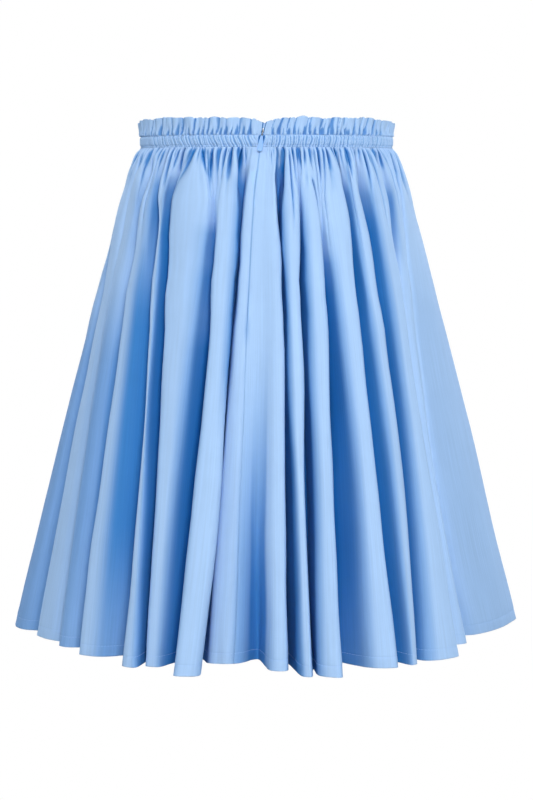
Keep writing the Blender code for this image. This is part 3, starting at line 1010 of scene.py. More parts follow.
# A closed thin shell between two grids of points, with its place on the cut cloth as UVs.
def shellObject(name, outer, inner, coordinates, shades=None):
    rows, columns = len(outer), len(outer[0])
    points = [point for row in outer + inner for point in row]
    back = rows * columns
    faces = []
    for row in range(rows - 1):
        for column in range(columns - 1):
            a = row * columns + column
            b, c, d = a + 1, a + columns + 1, a + columns
            faces.append((a, d, c, b))
            faces.append((a + back, b + back, c + back, d + back))
    for row in (0, rows - 1):
        for column in range(columns - 1):
            a = row * columns + column
            quad = (a, a + 1, a + 1 + back, a + back)
            faces.append(quad if row == 0 else quad[::-1])
    for column in (0, columns - 1):
        for row in range(rows - 1):
            a = row * columns + column
            quad = (a, a + back, a + columns + back, a + columns)
            faces.append(quad if column == 0 else quad[::-1])
    mesh = bpy.data.meshes.new(name)
    mesh.from_pydata(points, [], faces)
    mesh.update()
    uvLayer(mesh, "cut", coordinates + coordinates)
    bm = bmesh.new()
    bm.from_mesh(mesh)
    bmesh.ops.recalc_face_normals(bm, faces=bm.faces)
    bm.to_mesh(mesh)
    bm.free()
    mesh.shade_smooth()
    # painted shade: the depth attribute carries each outer point's painted shade, the inner side none
    layer = mesh.attributes.new("depth", "FLOAT", "POINT")
    if shades:
        layer.data.foreach_set("value", shades + [0.0] * len(shades))
    piece = bpy.data.objects.new(name, mesh)
    bpy.context.scene.collection.objects.link(piece)
    return piece


def panelPiece(name, rows, first, last):
    indices = [column % columnCount for column in range(first, last + 1)]
    lowest = [rows[-1]["points"][index] for index in indices]
    runs = [0]
    for here, there in zip(lowest, lowest[1:]):
        runs.append(runs[-1] + (there - here).length)
    outer, inner, coordinates, shades = [], [], [], []
    for row in rows:
        outwards = smoothNormals(rowNormals(row["points"]), 1)
        line = [row["points"][index].copy() for index in indices]
        for end, neighbour in ((0, 1), (-1, -2)):
            along = (line[neighbour] - line[end]).normalized()
            line[end] += along * cloth["seamGap"] / 2
        turned = ease(hem["turn"] + hem["turnFrom"], hem["turn"] + hem["turnTo"], row["height"])
        thick = cloth["wall"] + hem["layers"] * turned
        if row["height"] < hem["edge"]:
            thick *= hem["edgeShare"]
        outer.append([p + outwards[i] * cloth["wall"] / 2 for p, i in zip(line, indices)])
        inner.append([p + outwards[i] * (cloth["wall"] / 2 - thick) for p, i in zip(line, indices)])
        shades += [row["paintedShade"][index] for index in indices]
        coordinates += [(run, row["level"]) for run in runs]
    return shellObject(name, outer, inner, coordinates, shades)


print("cloth rows")
rows = skirtRows()
print("cloth panels", columnCount, "columns", len(rows), "rows")
backLeft = panelPiece("backLeftPanel", rows, leftSeam, zipSeam)
backRight = panelPiece("backRightPanel", rows, zipSeam, rightSeam)
front = panelPiece("frontPanel", rows, rightSeam, leftSeam + columnCount)

band = {
    "columns": 1240,
    "rowCount": 36,
    "fineSteps": 4,           # steps in which each column's length is measured
    "cutShare": 1.35,         # length of the cut strip over the gathered one
    "wall": 0.0014,
    "frillWall": 0.0009,
    "thinFrom": -0.001,       # the wall thins between these, past the upper row of stitches
    "thinTo": 0.003,
    "footFrom": -0.0002,      # and thickens from the foot to this far above the lower row
    "footTo": 0.0015,
    "stitchThin": 0.0009,
    "stitchRows": (0.0050, -0.0048),
    "stitchDip": 0.0007,
    "stitchReach": 0.0008,
    "heldTo": 0.002,          # the folds grow from nothing between these, from the slit
    "freeFrom": 0.012,
    "puff": 0.0003,
    "puffPast": 0.002,
    "shirrPitch": 0.0025,
    "shirrJitter": 0.45,
    "shirr": 0.0014,
    "shirrHeld": 0.25,        # share of the shirring that is left at the slit
    "shirrOut": 0.0015,
    "shirrIn": -0.001,
    "inside": 0.000001,       # keeps a slanted place between the first line and the last
    "slant": 0.42,
    "slantRight": 0.12,
    "dip": 0.0052,
    "dipReach": 0.0095,
    "slitShade": 0.0011,      # of the band's two ends is in painted shadow
    "pullShade": 0.0024,      # and beside the head of the pull
    "slitFull": 0.5,
    "slitFrom": -0.0056,
    "slitTo": -0.0040,
    "pullFrom": (-0.0050, -0.0030),
    "pullTo": (0.0062, 0.0040),
    "baseStart": -0.0005,
    "baseFull": 0.0015,
    "baseEnds": 0.004,
    "basePitch": 0.0046,
    "baseJitter": 0.55,
    "basePuff": 0.80,
    "baseMost": 0.007,
    "baseFade": 0.0075,
    "longEnds": 0.006,
    "longPitch": 0.0078,
    "longJitter": 0.85,
    "longPuff": 0.34,
    "longMost": 0.016,
    "longSink": 0.1,
    "longFull": 0.004,
    "longHeights": (0.4, 1),
    "frillFull": 0.016,
    "topJitter": 0.0012,
    "notch": 0.0014,
    "notchReach": 0.0010,
    # painted shade in the creases of the channel and the frill
    "shadeWindow": 5,
    "channelScale": 0.0011,
    "frillScale": 0.0022,
    "channelShare": 0.50,
    "frillShadeShare": 0.62,
    "shadeFrom": 0.55,
    "channelTo": 0.004,       # its painted shade changes to the frill's between these heights
    "frillFrom": 0.008,
}
slitColumns = ("z", "halfSlit")
slitRows = (
    (-0.0062, 0.0002),
    (-0.0046, 0.0004),
    (-0.0010, 0.0011),
    (0.0035, 0.0015),
    (0.0070, 0.0009),
    (0.0125, 0.0006),
    (0.0232, 0.0012),
)
slits = namedRows(slitColumns, slitRows)
# where the frill's top edge sinks at the two sides
dropColumns = ("bearing", "width", "depth")
dropRows = (
    (radians(90), radians(24), 0.0042),
    (radians(270), radians(13), 0.0044),
)
drops = namedRows(dropColumns, dropRows)
# Unevenness of the band's folds: turns of the noise in a metre round the waist and up, its seed
# and its height.
unevenColumns = ("round", "up", "seed", "height")
unevenRows = {
    "shirr": (130, 160, 1.0, 0.0012),
    "base": (90, 90, 3.0, 0.0008),
    "long": (30, 0, 7.0, 0.5),
    "frill": (38, 20, 5.0, 0.0016),
}
# and of the frill's top edge, as shares of its jitter
edgeColumns = ("round", "seed", "share")
edgeRows = ((42, 2.0, 1.6), (150, 6.0, 0.8))
frillEdges = namedRows(edgeColumns, edgeRows)


def uneven(name, place, z):
    row = dict(zip(unevenColumns, unevenRows[name]))
    return wander(place * row["round"], z * row["up"], row["seed"]) * row["height"]


def halfSlit(z):
    for lower, upper in zip(slits, slits[1:]):
        if z <= upper["z"] or upper is slits[-1]:
            share = (z - lower["z"]) / (upper["z"] - lower["z"])
            return mix(lower["halfSlit"], upper["halfSlit"], share)


shirrLines = jittered(0, girthAll, band["shirrPitch"], band["shirrJitter"])
baseLines = jittered(band["baseEnds"], girthAll - band["baseEnds"], band["basePitch"], band["baseJitter"])
longLines = jittered(band["longEnds"], girthAll - band["longEnds"], band["longPitch"], band["longJitter"])
longHeights = [dice.uniform(*band["longHeights"]) for _ in longLines]


# a column's length round the waist from the slit, and from the nearer of the band's ends
def bandPlace(column):
    place = girthAll * column / band["columns"]
    return place, min(place, girthAll - place)


# the columns' bearings at a height, evenly far apart along the band
def bandBearings(z):
    width, depth = outline(z)
    start = asin((slitX(z) + halfSlit(z)) / width)
    end = radians(360) + asin((slitX(z) - halfSlit(z)) / width)
    count = band["columns"]
    fine = band["fineSteps"] * count
    lengths = [0]
    for step in range(fine):
        middle = mix(start, end, (step + 0.5) / fine)
        lengths.append(lengths[-1] + hypot(width * cos(middle), depth * sin(middle)))
    bearings = []
    index = 0
    for step in range(count + 1):
        want = lengths[-1] * step / count
        while index < fine - 1 and lengths[index + 1] < want:
            index += 1
        span = lengths[index + 1] - lengths[index]
        bearings.append(mix(start, end, (index + (want - lengths[index]) / span) / fine))
    return bearings


# The frill has short folds at its foot and long ones that reach its edge.
def frillLift(place, z, free):
    rise = z - band["stitchRows"][0]
    gap, wave = scallop(baseLines, place + uneven("base", place, z))
    lift = min(gap, band["baseMost"]) * band["basePuff"] * wave * bell(rise, band["baseFade"]) \
        * ease(0, band["baseFull"], rise) * free
    shifted = place + uneven("long", place, z) * rise
    gap, wave = scallop(longLines, shifted)
    if gap:
        share = longHeights[bisect_right(longLines, shifted) - 1]
        grow = ease(0, band["longFull"], rise)
        crest = min(gap, band["longMost"]) * band["longPuff"] * (wave - band["longSink"])
        lift += crest * grow * share * free
    return lift + uneven("frill", place, z) * ease(0, band["frillFull"], rise) * free


def bandLift(place, z):
    upper, lower = band["stitchRows"]
    lift = 0
    free = ease(band["heldTo"], band["freeFrom"], min(place, girthAll - place))
    if z < upper + band["puffPast"]:
        lift += band["puff"] * sin(pi * max(0, min(1, (z - lower) / (upper - lower))))
    slant = band["slant"] if place > girthAll / 2 else band["slantRight"]
    slanted = max(band["inside"], place + slant * z + uneven("shirr", place, z))
    _, wave = scallop(shirrLines, min(girthAll - band["inside"], slanted))
    channel = ease(upper + band["shirrOut"], upper + band["shirrIn"], z)
    lift += wave * band["shirr"] * channel * mix(band["shirrHeld"], 1, free)
    for line in band["stitchRows"]:
        lift -= band["stitchDip"] * bell(z - line, band["stitchReach"])
    if z > upper + band["baseStart"]:
        lift += frillLift(place, z, free)
    return lift


# how far the frill's top edge stands up at a place
def frillEdge(place):
    top = 0
    for row in frillEdges:
        top += wander(place * row["round"], row["seed"], 0) * band["topJitter"] * row["share"]
    index = bisect_right(longLines, place)
    if 0 < index < len(longLines):
        near = min(place - longLines[index - 1], longLines[index] - place)
        top -= band["notch"] * longHeights[index] * bell(near, band["notchReach"])
    return top


# painted shade of a band row: its shirring and frill creases, the slit's edges and beside the pull's head
def bandPaintedShades(points, z):
    insets = [bearingAndInset(point, z)[1] for point in points]
    small = depthsBelow(insets, band["shadeWindow"], closed=False)
    frill = ease(band["channelTo"], band["frillFrom"], z)
    scale = mix(band["channelScale"], band["frillScale"], frill)
    most = mix(band["channelShare"], band["frillShadeShare"], frill)
    atPull = ease(*band["pullFrom"], z) * ease(*band["pullTo"], z)
    reach = mix(band["slitShade"], band["pullShade"], atPull)
    atSlit = ease(band["slitFrom"], band["slitTo"], z)
    shades = []
    for column, depth in enumerate(small):
        _, edge = bandPlace(column)
        shades.append(max(ease(band["shadeFrom"], 1, depth / scale) * most,
                          ease(reach, reach * band["slitFull"], edge) * atSlit))
    return shades


# one row of the band; rise is 0 up to the upper row of stitches and 1 at the frill's edge
def bandPoints(z, rise):
    points = []
    for column, bearing in enumerate(bandBearings(z)):
        place, edge = bandPlace(column)
        dip = band["dip"] * exp(-edge / band["dipReach"])
        for drop in drops:
            dip += drop["depth"] * bell(bearing - drop["bearing"], drop["width"])
        flat = onOutline(bearing, -bandLift(place, z), z)
        points.append(Vector((flat.x, flat.y, z - (dip - frillEdge(place)) * rise)))
    return points


def bandWall(z):
    upper, lower = band["stitchRows"]
    wall = mix(band["wall"], band["frillWall"], ease(upper + band["thinFrom"], upper + band["thinTo"], z))
    foot = ease(levels["bandFoot"] + band["footFrom"], lower + band["footTo"], z)
    wall = mix(band["frillWall"], wall, foot)
    for line in band["stitchRows"]:
        wall = mix(wall, band["frillWall"], bell(z - line, band["stitchThin"]))
    return wall


def thickened(points, normals, wall):
    return ([point + normal * wall / 2 for point, normal in zip(points, normals)],
            [point - normal * wall / 2 for point, normal in zip(points, normals)])


def bandPiece():
    outer, inner, coordinates, shades = [], [], [], []
    upper = band["stitchRows"][0]
    # from the top down, as the panels' rows run
    for order in range(band["rowCount"], -1, -1):
        z = mix(levels["bandFoot"], levels["frillTop"], order / band["rowCount"])
        points = bandPoints(z, max(0, (z - upper) / (levels["frillTop"] - upper)))
        smooth = [onOutline(bearingAndInset(point, z)[0], 0, z) for point in points]
        normals = rowNormals([Vector((flat.x, flat.y, 0)) for flat in smooth], closed=False)
        outside, inside = thickened(points, normals, bandWall(z))
        outer.append(outside)
        inner.append(inside)
        shades += bandPaintedShades(points, z)
        coordinates += [(bandPlace(column)[0] * band["cutShare"], z) for column in range(len(points))]
    return shellObject("waistStrip", outer, inner, coordinates, shades)


print("waistband")
waistStrip = bandPiece()

zipParts = {
    "tapeWidth": 0.0070,
    "tapeSteps": 8,
    "tapeEdge": 0.0009,
    "tapeWall": 0.0006,
    "tapeTop": 0.0085,
    "chainTop": 0.0030,
    "chainHalf": 0.0001,      # half the width of the strip that gives the chain its course
    "clear": 0.0004,
    "layer": 0.0005,          # from the middle of one layer to the face of the next
    "cadWall": 0.0010,
    "cadBandWall": 0.0022,
    "chainWall": 0.0013,
    "rowCount": 59,
    "bandHeights": (0.0, -0.004),
    "underBand": 0.001,       # the last row behind the band
    "underTop": 0.004,        # and the first one behind the skirt, below the band's foot
}


# the point and the way outwards at a distance along a row
def walk(row, start, distance):
    step = 1 if distance > 0 else -1
    left = abs(distance)
    column = start
    while True:
        here, there = row[column % columnCount], row[(column + step) % columnCount]
        leg = (there - here).length
        if left <= leg:
            along = (there - here).normalized()
            outwards = Vector((along.y, -along.x, 0)).normalized() * step
            return here + along * left, outwards
        left -= leg
        column += step


# the skirt's rows without gathers or wrinkles, down to the foot of the zip
plainRows = []
for step in range(1, zipParts["rowCount"] + 1):
    level = mix(levels["panelTop"], levels["zipEnd"], step / zipParts["rowCount"])
    share = (level - levels["panelTop"]) / (levels["hem"] - levels["panelTop"])
    height = level + corners[owners[zipSeam]]["hitch"] * share
    plainRows.append([Vector((flat.x, flat.y, height)) for flat in flatPlaces(level)])


# A strip that hangs behind the band and the skirt along the zip, at places across it.
def zipGrid(places, depth, top):
    waistHalf, _ = outline(0)
    grid = []
    bandExtra = (zipParts["cadBandWall"] - zipParts["cadWall"]) / 2
    for z in (top, top / 2, *zipParts["bandHeights"], levels["bandFoot"] - zipParts["underBand"]):
        line = []
        for place in places:
            bearing = asin((slitX(z) + place) / waistHalf)
            flat = onOutline(bearing, 0, 0)
            outwards = Vector((sin(bearing), -cos(bearing), 0))
            line.append(Vector((flat.x, flat.y, z)) - outwards * (depth + bandExtra))
        grid.append(line)
    for row in plainRows:
        if levels["zipEnd"] <= row[zipSeam].z <= levels["bandFoot"] - zipParts["underTop"]:
            stations = [walk(row, zipSeam, place) for place in places]
            grid.append([point - outwards * depth for point, outwards in stations])
    return grid


def tapePiece(name, places, depth):
    outer, inner, coordinates = [], [], []
    for line in zipGrid(places, depth, zipParts["tapeTop"]):
        outside, inside = thickened(line, rowNormals(line, closed=False), zipParts["tapeWall"])
        outer.append(outside)
        inner.append(inside)
        coordinates += [(place, point.z) for place, point in zip(places, line)]
    return shellObject(name, outer, inner, coordinates)


print("zip")
tapeDepth = zipParts["cadWall"] / 2 + zipParts["clear"] + zipParts["layer"]
tapePlaces = [mix(zipParts["tapeEdge"], zipParts["tapeEdge"] + zipParts["tapeWidth"],
                  step / zipParts["tapeSteps"]) for step in range(zipParts["tapeSteps"] + 1)]
tapeRight = tapePiece("tapeRight", tapePlaces, tapeDepth)
tapeLeft = tapePiece("tapeLeft", [-place for place in reversed(tapePlaces)], tapeDepth)


# An output of a shader's node. Sums of outputs and numbers become Math nodes.
class Sock:
    def __init__(self, shader, node, output=0):
        self.shader = shader
        self.node = node
        self.socket = node.outputs[output]

    def output(self, output):
        return Sock(self.shader, self.node, output)

    def _math(self, operation, *others):
        values = dict(enumerate((self, *others)))
        return self.shader.node("ShaderNodeMath", {"operation": operation}, values)

    def __add__(self, other):
        return self._math("ADD", other)

    __radd__ = __add__

    def __mul__(self, other):
        return self._math("MULTIPLY", other)

    __rmul__ = __mul__

    def __sub__(self, other):
        return self._math("SUBTRACT", other)

    def __rsub__(self, other):
        return (self * -1) + other

    def sine(self):
        return self._math("SINE")


class Shader:
    def __init__(self, name, values):
        self.material = bpy.data.materials.new(name)
        self.material.use_nodes = True
        self.tree = self.material.node_tree
        self.body = self.tree.nodes["Principled BSDF"]
        self.fill(self.body, values)

    # gives a node's sockets their values or links
    def fill(self, node, values):
        for key, value in values.items():
            if isinstance(value, Sock):
                self.tree.links.new(value.socket, node.inputs[key])
            else:
                node.inputs[key].default_value = value

    def setStops(self, elements, stops):
        elements.remove(elements[-1])
        elements[0].position, elements[0].color = stops[0]
        for position, colour in stops[1:]:
            elements.new(position).color = colour

    # settings are a node's own properties or a ramp's stops
    def node(self, kind, settings, values, output=0):
        node = self.tree.nodes.new(kind)
        for key, value in settings.items():
            if key == "stops":
                self.setStops(node.color_ramp.elements, value)
            else:
                setattr(node, key, value)
        self.fill(node, values)
        return Sock(self, node, output)

    def noise(self, place, scale, detail):
        return self.node("ShaderNodeTexNoise", {}, {"Vector": place, "Scale": scale, "Detail": detail})


poplin = {
    "colour": (0.405, 0.577, 0.84, 1),
    # painted shade: the colours that the cloth turns to in its valleys and creases
    "deep": (0.012, 0.185, 0.53, 1),
    "deepAt": 0.85,
    "darkest": (0.006, 0.095, 0.31, 1),
    "weave": 0.00055,
    "weaveShare": 0.5,        # of the bump's height
    "slubShare": 0.6,
    "slubScale": 900.0,
    "slubDetail": 2.0,
    "bump": 0.35,
    "bumpDepth": 0.00016,
    "mottle": 0.05,
    "mottleScale": 60.0,
    "slubAcross": 620,        # streaks of uneven yarn, per metre
    "slubAlong": 11,
    "slubTone": 0.23,
    "detail": 3.0,
}
poplinBody = {
    "Roughness": 0.82,
    "Sheen Weight": 0.04,
    "Sheen Roughness": 0.5,
    "Sheen Tint": (0.8, 0.9, 1, 1),
    "Specular IOR Level": 0.25,
}
objectPlace = 3               # output of the coordinates node
# sockets of a Mix node for colours
mixed = {"factor": 0, "first": 6, "second": 7, "output": 2}
attributeValue = 2
toneMiddle = 0.5              # of a noise


def poplinMaterial():
    shader = Shader("poplin", poplinBody)
    uv = shader.node("ShaderNodeUVMap", {"uv_map": "cut"}, {})
    across = shader.node("ShaderNodeSeparateXYZ", {}, {0: uv})
    along = across.output(1)
    turn = 2 * pi / poplin["weave"]
    weave = (across * turn).sine() * (along * turn).sine()
    place = shader.node("ShaderNodeTexCoord", {}, {}, objectPlace)
    slub = shader.noise(place, poplin["slubScale"], poplin["slubDetail"])
    bump = shader.node("ShaderNodeBump", {}, {
        "Height": weave * poplin["weaveShare"] + slub * poplin["slubShare"],
        "Strength": poplin["bump"],
        "Distance": poplin["bumpDepth"],
    })
    cloud = shader.noise(place, poplin["mottleScale"], poplin["detail"])
    yarn = {0: across * poplin["slubAcross"], 1: along * poplin["slubAlong"]}
    streak = shader.noise(shader.node("ShaderNodeCombineXYZ", {}, yarn), 1.0, poplin["detail"])
    tone = (cloud - toneMiddle) * poplin["mottle"] + (streak - toneMiddle) * poplin["slubTone"] + 1
    # painted shade from the depth attribute darkens the cloth's colour through the ramp
    depth = shader.node("ShaderNodeAttribute", {"attribute_name": "depth"}, {}, attributeValue)
    stops = ((0, poplin["colour"]), (poplin["deepAt"], poplin["deep"]), (1, poplin["darkest"]))
    ramp = shader.node("ShaderNodeValToRGB", {"stops": stops}, {0: depth})
    grey = shader.node("ShaderNodeCombineColor", {}, {0: tone, 1: tone, 2: tone})
    colour = shader.node("ShaderNodeMix", {"data_type": "RGBA", "blend_type": "MULTIPLY"},
                         {mixed["factor"]: 1, mixed["first"]: ramp, mixed["second"]: grey}, mixed["output"])
    shader.fill(shader.body, {"Base Color": colour, "Normal": bump})
    return shader.material


looks = {
    "tapeWeave": {"Base Color": (0.38, 0.58, 0.88, 1), "Roughness": 0.7},
    "coilNylon": {"Base Color": (0.36, 0.56, 0.86, 1), "Roughness": 0.35},
    "sliderMetal": {"Base Color": (0.40, 0.39, 0.36, 1), "Roughness": 0.38, "Metallic": 1.0},
    # the pull's paint, darkened below its own light blue as painted shade for its shadowed outline
    "pullPaintAndShade": {"Base Color": (0.15, 0.35, 0.72, 1), "Roughness": 0.35, "Coat Weight": 0.3},
    "threadCotton": {"Base Color": (0.36, 0.55, 0.86, 1), "Roughness": 0.6},
}
materials = {name: Shader(name, values).material for name, values in looks.items()}
materials["poplin"] = poplinMaterial()

for piece in (backLeft, backRight, front, waistStrip):
    piece.data.materials.append(materials["poplin"])
for piece in (tapeLeft, tapeRight):
    piece.data.materials.append(materials["tapeWeave"])
for piece in (backLeft, backRight, front, waistStrip, tapeLeft, tapeRight):
    piece.data.calc_loop_triangles()
    area = sum(polygon.area for polygon in piece.data.polygons) / 2
    print(piece.name, "half surface", round(area, 4), "triangles", len(piece.data.loop_triangles))

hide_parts("skirt_front")
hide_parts("skirt_back_left")
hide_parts("skirt_back_right")
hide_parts("waistband")
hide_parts("zip_tape_left")
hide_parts("zip_tape_right")
for piece in (front, backLeft, backRight, waistStrip):
    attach(piece, "skirt")
for piece in (tapeLeft, tapeRight):
    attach(piece, "skirt")

slider = {
    "barZ": 0.0072,
    "proud": 0.0014,          # of the bar that the pull swings on, in front of the band
    "body": (0.0056, 0.0026, 0.0085),
    "bodyDrop": 0.0006,
    "bevel": 0.0007,
    "segments": 4,
    "archRadius": 0.0017,
    "archWire": 0.00045,
    "archBack": 0.0005,
    "post": (0.0010, 0.0038, 0.0026),
    "postSink": 0.0004,
    "postBevel": 0.0007 / 3,
    "postSegments": 2,
}
pull = {
    "out": radians(15),
    "length": 0.0190,
    "width": 0.0051,
    "sides": 48,
    "halfWall": 0.0006,
    "top": 0.0027,            # the tab starts this far under the bar
    "rim": 0.0006,
    "dish": 0.00018,
    "bevel": 0.00028,
    "segments": 3,
    "level": 0.00001,         # vertices above this are drawn up to the tab's narrow end
    "facing": 0.9,
    "ringRadius": 0.0015,
    "ringWire": 0.00040,
    "ringStretch": 1.15,
}
ringSteps = {"major_segments": 36, "minor_segments": 12}
coil = {
    "pitch": 0.0010,
    "width": 0.0032,
    "wire": 0.00042,
    "sides": 8,
    "taper": 0.6,
    "stagger": 0.00018,
    "behind": 0.0005,         # from the middle of the tape
}
thread = {
    "length": 0.0023,
    "radius": 0.00017,
    "sides": 6,
    "taper": 0.7,
    "hemPitch": 0.0031,
    "bandPitch": 0.0026,
    "lift": 0.00004,
    "evenPasses": 2,
}
rodSegments = 2
acrossX = (0, radians(90), 0)       # turns from Z to the X and the Y axis
acrossY = (radians(90), 0, 0)
scene = bpy.context.scene


def barPlace():
    bearing = asin(slitX(slider["barZ"]) / outline(0)[0])
    flat = onOutline(bearing, -(zipParts["cadBandWall"] / 2 + slider["proud"]), 0)
    return Vector((slitX(slider["barZ"]), flat.y, slider["barZ"]))


def deselected():
    bpy.ops.object.select_all(action="DESELECT")


def applyModifier(piece, kind, **settings):
    deselected()
    piece.select_set(True)
    bpy.context.view_layer.objects.active = piece
    modifier = piece.modifiers.new(kind.lower(), kind)
    for key, value in settings.items():
        setattr(modifier, key, value)
    bpy.ops.object.modifier_apply(modifier=modifier.name)


# joins parts that were made about the bar, and moves the whole to its place on the skirt
def finished(name, pieces, swing):
    deselected()
    for piece in pieces:
        piece.select_set(True)
    piece = pieces[0]
    bpy.context.view_layer.objects.active = piece
    bpy.ops.object.join()
    piece.name = name
    piece.data.name = name
    piece.data.shade_smooth()
    applyModifier(piece, "WEIGHTED_NORMAL", keep_sharp=True)
    place = Matrix.Translation(barPlace()) @ Matrix.Rotation(zipPlace["lean"], 4, "Y")
    piece.data.transform(place @ Matrix.Rotation(-swing, 4, "X") @ piece.matrix_world)
    piece.matrix_world = Matrix.Identity(4)
    return piece


def block(size, place, bevel, segments):
    deselected()
    bpy.ops.mesh.primitive_cube_add(size=1, location=place)
    piece = bpy.context.object
    piece.scale = size
    bpy.ops.object.transform_apply(location=True, scale=True)
    applyModifier(piece, "BEVEL", width=bevel, segments=segments)
    return piece


def wireRing(radius, wire, turn, place, stretch=1):
    deselected()
    bpy.ops.mesh.primitive_torus_add(major_radius=radius, minor_radius=wire, rotation=turn,
                                     location=place, **ringSteps)
    piece = bpy.context.object
    piece.scale = (1, stretch, 1)
    bpy.ops.object.transform_apply(location=True, rotation=True, scale=True)
    return piece


def rod(length, radius, sides):
    deselected()
    bpy.ops.mesh.primitive_cylinder_add(vertices=sides, radius=radius, depth=length, rotation=acrossY)
    piece = bpy.context.object
    bpy.ops.object.transform_apply(rotation=True)
    return piece


def editing(isOn):
    bpy.ops.object.mode_set(mode="EDIT" if isOn else "OBJECT")


def tabPiece():
    tab = rod(2 * pull["halfWall"], pull["width"] / 2, pull["sides"])
    footCentre = pull["width"] / 2 - pull["length"]
    stretch = (-pull["top"] - footCentre) / (pull["width"] / 2)
    editing(True)
    bpy.ops.mesh.select_all(action="DESELECT")
    editing(False)
    for vertex in tab.data.vertices:
        vertex.select = vertex.co.z > pull["level"]
    editing(True)
    bpy.ops.transform.resize(value=(1, 1, stretch), center_override=(0, 0, 0))
    bpy.ops.mesh.select_all(action="DESELECT")
    bpy.ops.mesh.select_mode(type="FACE")
    editing(False)
    for side in (-1, 1):
        for polygon in tab.data.polygons:
            faces = polygon.normal.y * side > pull["facing"]
            polygon.select = faces and polygon.area > pull["width"] ** 2
        editing(True)
        bpy.ops.mesh.inset(thickness=pull["rim"])
        bpy.ops.transform.translate(value=(0, -side * pull["dish"], 0))
        bpy.ops.mesh.select_all(action="DESELECT")
        editing(False)
    tab.location = (0, 0, footCentre)
    bpy.ops.object.transform_apply(location=True)
    applyModifier(tab, "BEVEL", width=pull["bevel"], segments=pull["segments"], limit_method="ANGLE")
    return tab


def pullPiece():
    tab = tabPiece()
    place = (0, 0, -pull["ringRadius"] * pull["ringStretch"])
    ring = wireRing(pull["ringRadius"], pull["ringWire"], acrossY, place, pull["ringStretch"])
    return finished("pullTab", [tab, ring], pull["out"])


def sliderPiece():
    layers = slider["proud"] + zipParts["cadBandWall"] + zipParts["cadWall"] + 2 * zipParts["clear"]
    body = block(slider["body"], (0, layers + slider["body"][1] / 2, slider["bodyDrop"]),
                 slider["bevel"], slider["segments"])
    post = block(slider["post"], (0, layers - slider["post"][1] / 2 + slider["postSink"], 0),
                 slider["postBevel"], slider["postSegments"])
    arch = wireRing(slider["archRadius"], slider["archWire"], acrossX, (0, slider["archBack"], 0))
    return finished("sliderBody", [body, post, arch], 0)


# even stations along a line of points with their ways outwards
def alongLine(line, pitch):
    stations = []
    ahead = pitch / 2
    for (here, hereOut), (there, thereOut) in zip(line, line[1:]):
        leg = (there - here).length
        while ahead <= leg:
            share = ahead / leg
            stations.append((here.lerp(there, share), hereOut.lerp(thereOut, share).normalized(),
                             (there - here).normalized()))
            ahead += pitch
        ahead -= leg
    return stations


# One piece of many copies of a master that lies along Y, each second one shifted the other way.
def repeated(name, master, stations, shift=0.0):
    bm = bmesh.new()
    for index, (point, outwards, along) in enumerate(stations):
        side = along.cross(outwards).normalized()
        turn = Matrix((side, along, outwards)).transposed().to_4x4()
        move = Matrix.Translation(point + side * (shift if index % 2 else -shift))
        copy = master.data.copy()
        copy.transform(move @ turn)
        bm.from_mesh(copy)
        bpy.data.meshes.remove(copy)
    mesh = bpy.data.meshes.new(name)
    bm.to_mesh(mesh)
    bm.free()
    mesh.shade_smooth()
    piece = bpy.data.objects.new(name, mesh)
    scene.collection.objects.link(piece)
    return piece


def rounded(length, radius, sides, taper):
    piece = rod(length, radius, sides)
    applyModifier(piece, "BEVEL", width=radius * taper, segments=rodSegments, limit_method="ANGLE")
    return piece


pullTab = pullPiece()
sliderBody = sliderPiece()


def chainLine():
    depth = tapeDepth + coil["behind"] + zipParts["clear"] + zipParts["chainWall"] / 2
    line = []
    for left, right in zipGrid([-zipParts["chainHalf"], zipParts["chainHalf"]], depth, zipParts["chainTop"]):
        across = (right - left).normalized()
        line.append(((left + right) / 2, Vector((across.y, -across.x, 0)).normalized()))
    return line


tooth = rounded(coil["width"], coil["wire"], coil["sides"], coil["taper"])
tooth.data.transform(Matrix.Rotation(radians(90), 4, "Z"))
coilTeeth = repeated("coilTeeth", tooth, alongLine(chainLine(), coil["pitch"]), coil["stagger"])
bpy.data.objects.remove(tooth)
stitch = rounded(thread["length"], thread["radius"], thread["sides"], thread["taper"])


def hemStitches(name, first, last):
    nearest = min(rows, key=lambda row: abs(row["height"] - hem["stitch"]))
    points = nearest["points"]
    normals = smoothNormals(rowNormals(points), thread["evenPasses"])
    reach = cloth["wall"] / 2 + thread["lift"]
    columns = [column % columnCount for column in range(first, last + 1)]
    line = [(points[column] + normals[column] * reach, normals[column]) for column in columns]
    return repeated(name, stitch, alongLine(line, thread["hemPitch"]))


def bandStitches():
    stations = []
    for z in band["stitchRows"]:
        line = []
        for column, bearing in enumerate(bandBearings(z)):
            lift = bandLift(bandPlace(column)[0], z)
            flat = onOutline(bearing, -(lift + band["frillWall"] / 2 + thread["lift"]), z)
            line.append((Vector((flat.x, flat.y, z)), Vector((sin(bearing), -cos(bearing), 0))))
        stations += alongLine(line, thread["bandPitch"])
    return repeated("bandStitches", stitch, stations)


stitches = [
    hemStitches("hemStitchesLeft", leftSeam, zipSeam),
    hemStitches("hemStitchesRight", zipSeam, rightSeam),
    hemStitches("hemStitchesFront", rightSeam, leftSeam + columnCount),
    bandStitches(),
]
bpy.data.objects.remove(stitch)

finishes = (
    (pullTab, "zip_pull", "pullPaintAndShade", "pull"),
    (sliderBody, "zip_metal", "sliderMetal", "skirt"),
    (coilTeeth, "zip_coil", "coilNylon", "skirt"),
) + tuple((piece, "poplin", "threadCotton", "skirt") for piece in stitches)
for piece, slot, material, body in finishes:
    piece.data.materials.clear()
    piece.data.materials.append(materials[material])
    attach(piece, body)
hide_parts("zip_pull")
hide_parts("zip_slider")
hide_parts("zip_chain")

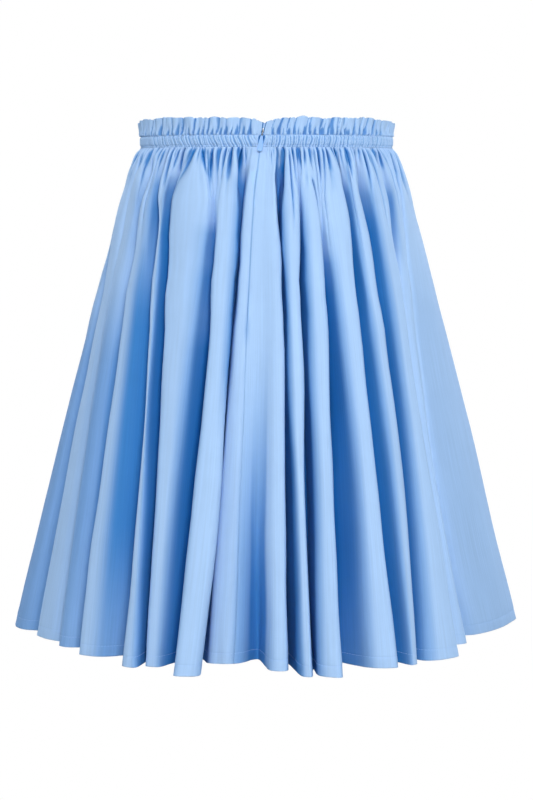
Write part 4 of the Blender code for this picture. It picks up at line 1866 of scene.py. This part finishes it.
print("stage")
studio = {
    "cameraAt": (0, -2.0, -0.042),
    "cameraPitch": radians(6.5),
    "lens": 85.7,
    "sensor": 36,
    "floorZ": -6.0,
    "floorSize": 30,
    "domeSize": 14,
    "domeSteps": (32, 16),
    "sky": (0.48, 0.79, 1.0, 1),
    "worldStrength": 0.21,
    "keySize": 1.3,
    "keyPower": 71,
    "target": (0, 0, -0.25),
}
lampColumns = ("name", "place", "share")
lampRows = (
    ("left", (-2.4, -1.8, 0.9), 0.36),
    ("right", (2.6, -1.5, 0.8), 0.40),
    ("front", (0.4, -3.2, 1.1), 1.18),
    ("behindLeft", (-2.0, 2.4, 1.0), 0.8),
    ("behindRight", (2.0, 2.4, 1.0), 0.9),
)
paperBody = {
    "Base Color": (0, 0, 0, 1),
    "Roughness": 1.0,
    "Emission Color": (1.0, 1.0, 1.0, 1),
    "Emission Strength": 1.0,
    "Specular IOR Level": 0.0,
}
scene.view_settings.view_transform = "Standard"
bpy.ops.mesh.primitive_plane_add(size=studio["floorSize"], location=(0, 0, studio["floorZ"]))
ground = bpy.context.object
ground.name = "floor"
around, upwards = studio["domeSteps"]
bpy.ops.mesh.primitive_uv_sphere_add(segments=around, ring_count=upwards, radius=studio["domeSize"])
dome = bpy.context.object
dome.name = "backdrop"
paper = Shader("paper", paperBody).material
# the white surroundings are seen but light nothing, so the folds keep their depth
for surface in (ground, dome):
    surface.data.materials.append(paper)
    surface.visible_diffuse = False
    surface.visible_glossy = False
    surface.visible_transmission = False
    surface.visible_shadow = False

world = bpy.data.worlds.new("studio")
scene.world = world
world.use_nodes = True
background = world.node_tree.nodes["Background"]
background.inputs["Color"].default_value = studio["sky"]
background.inputs["Strength"].default_value = studio["worldStrength"]

for row in namedRows(lampColumns, lampRows):
    light = bpy.data.lights.new(row["name"], "AREA")
    light.shape = "DISK"
    light.size = studio["keySize"]
    light.energy = studio["keyPower"] * row["share"]
    lamp = bpy.data.objects.new(row["name"], light)
    lamp.location = row["place"]
    lamp.rotation_euler = (Vector(studio["target"]) - lamp.location).to_track_quat("-Z", "Y").to_euler()
    scene.collection.objects.link(lamp)

camera = bpy.data.cameras.new("camera")
camera.lens = studio["lens"]
camera.sensor_width = studio["sensor"]
view = bpy.data.objects.new("camera", camera)
view.location = studio["cameraAt"]
view.rotation_euler = (radians(90) - studio["cameraPitch"], 0, 0)
scene.collection.objects.link(view)
scene.camera = view
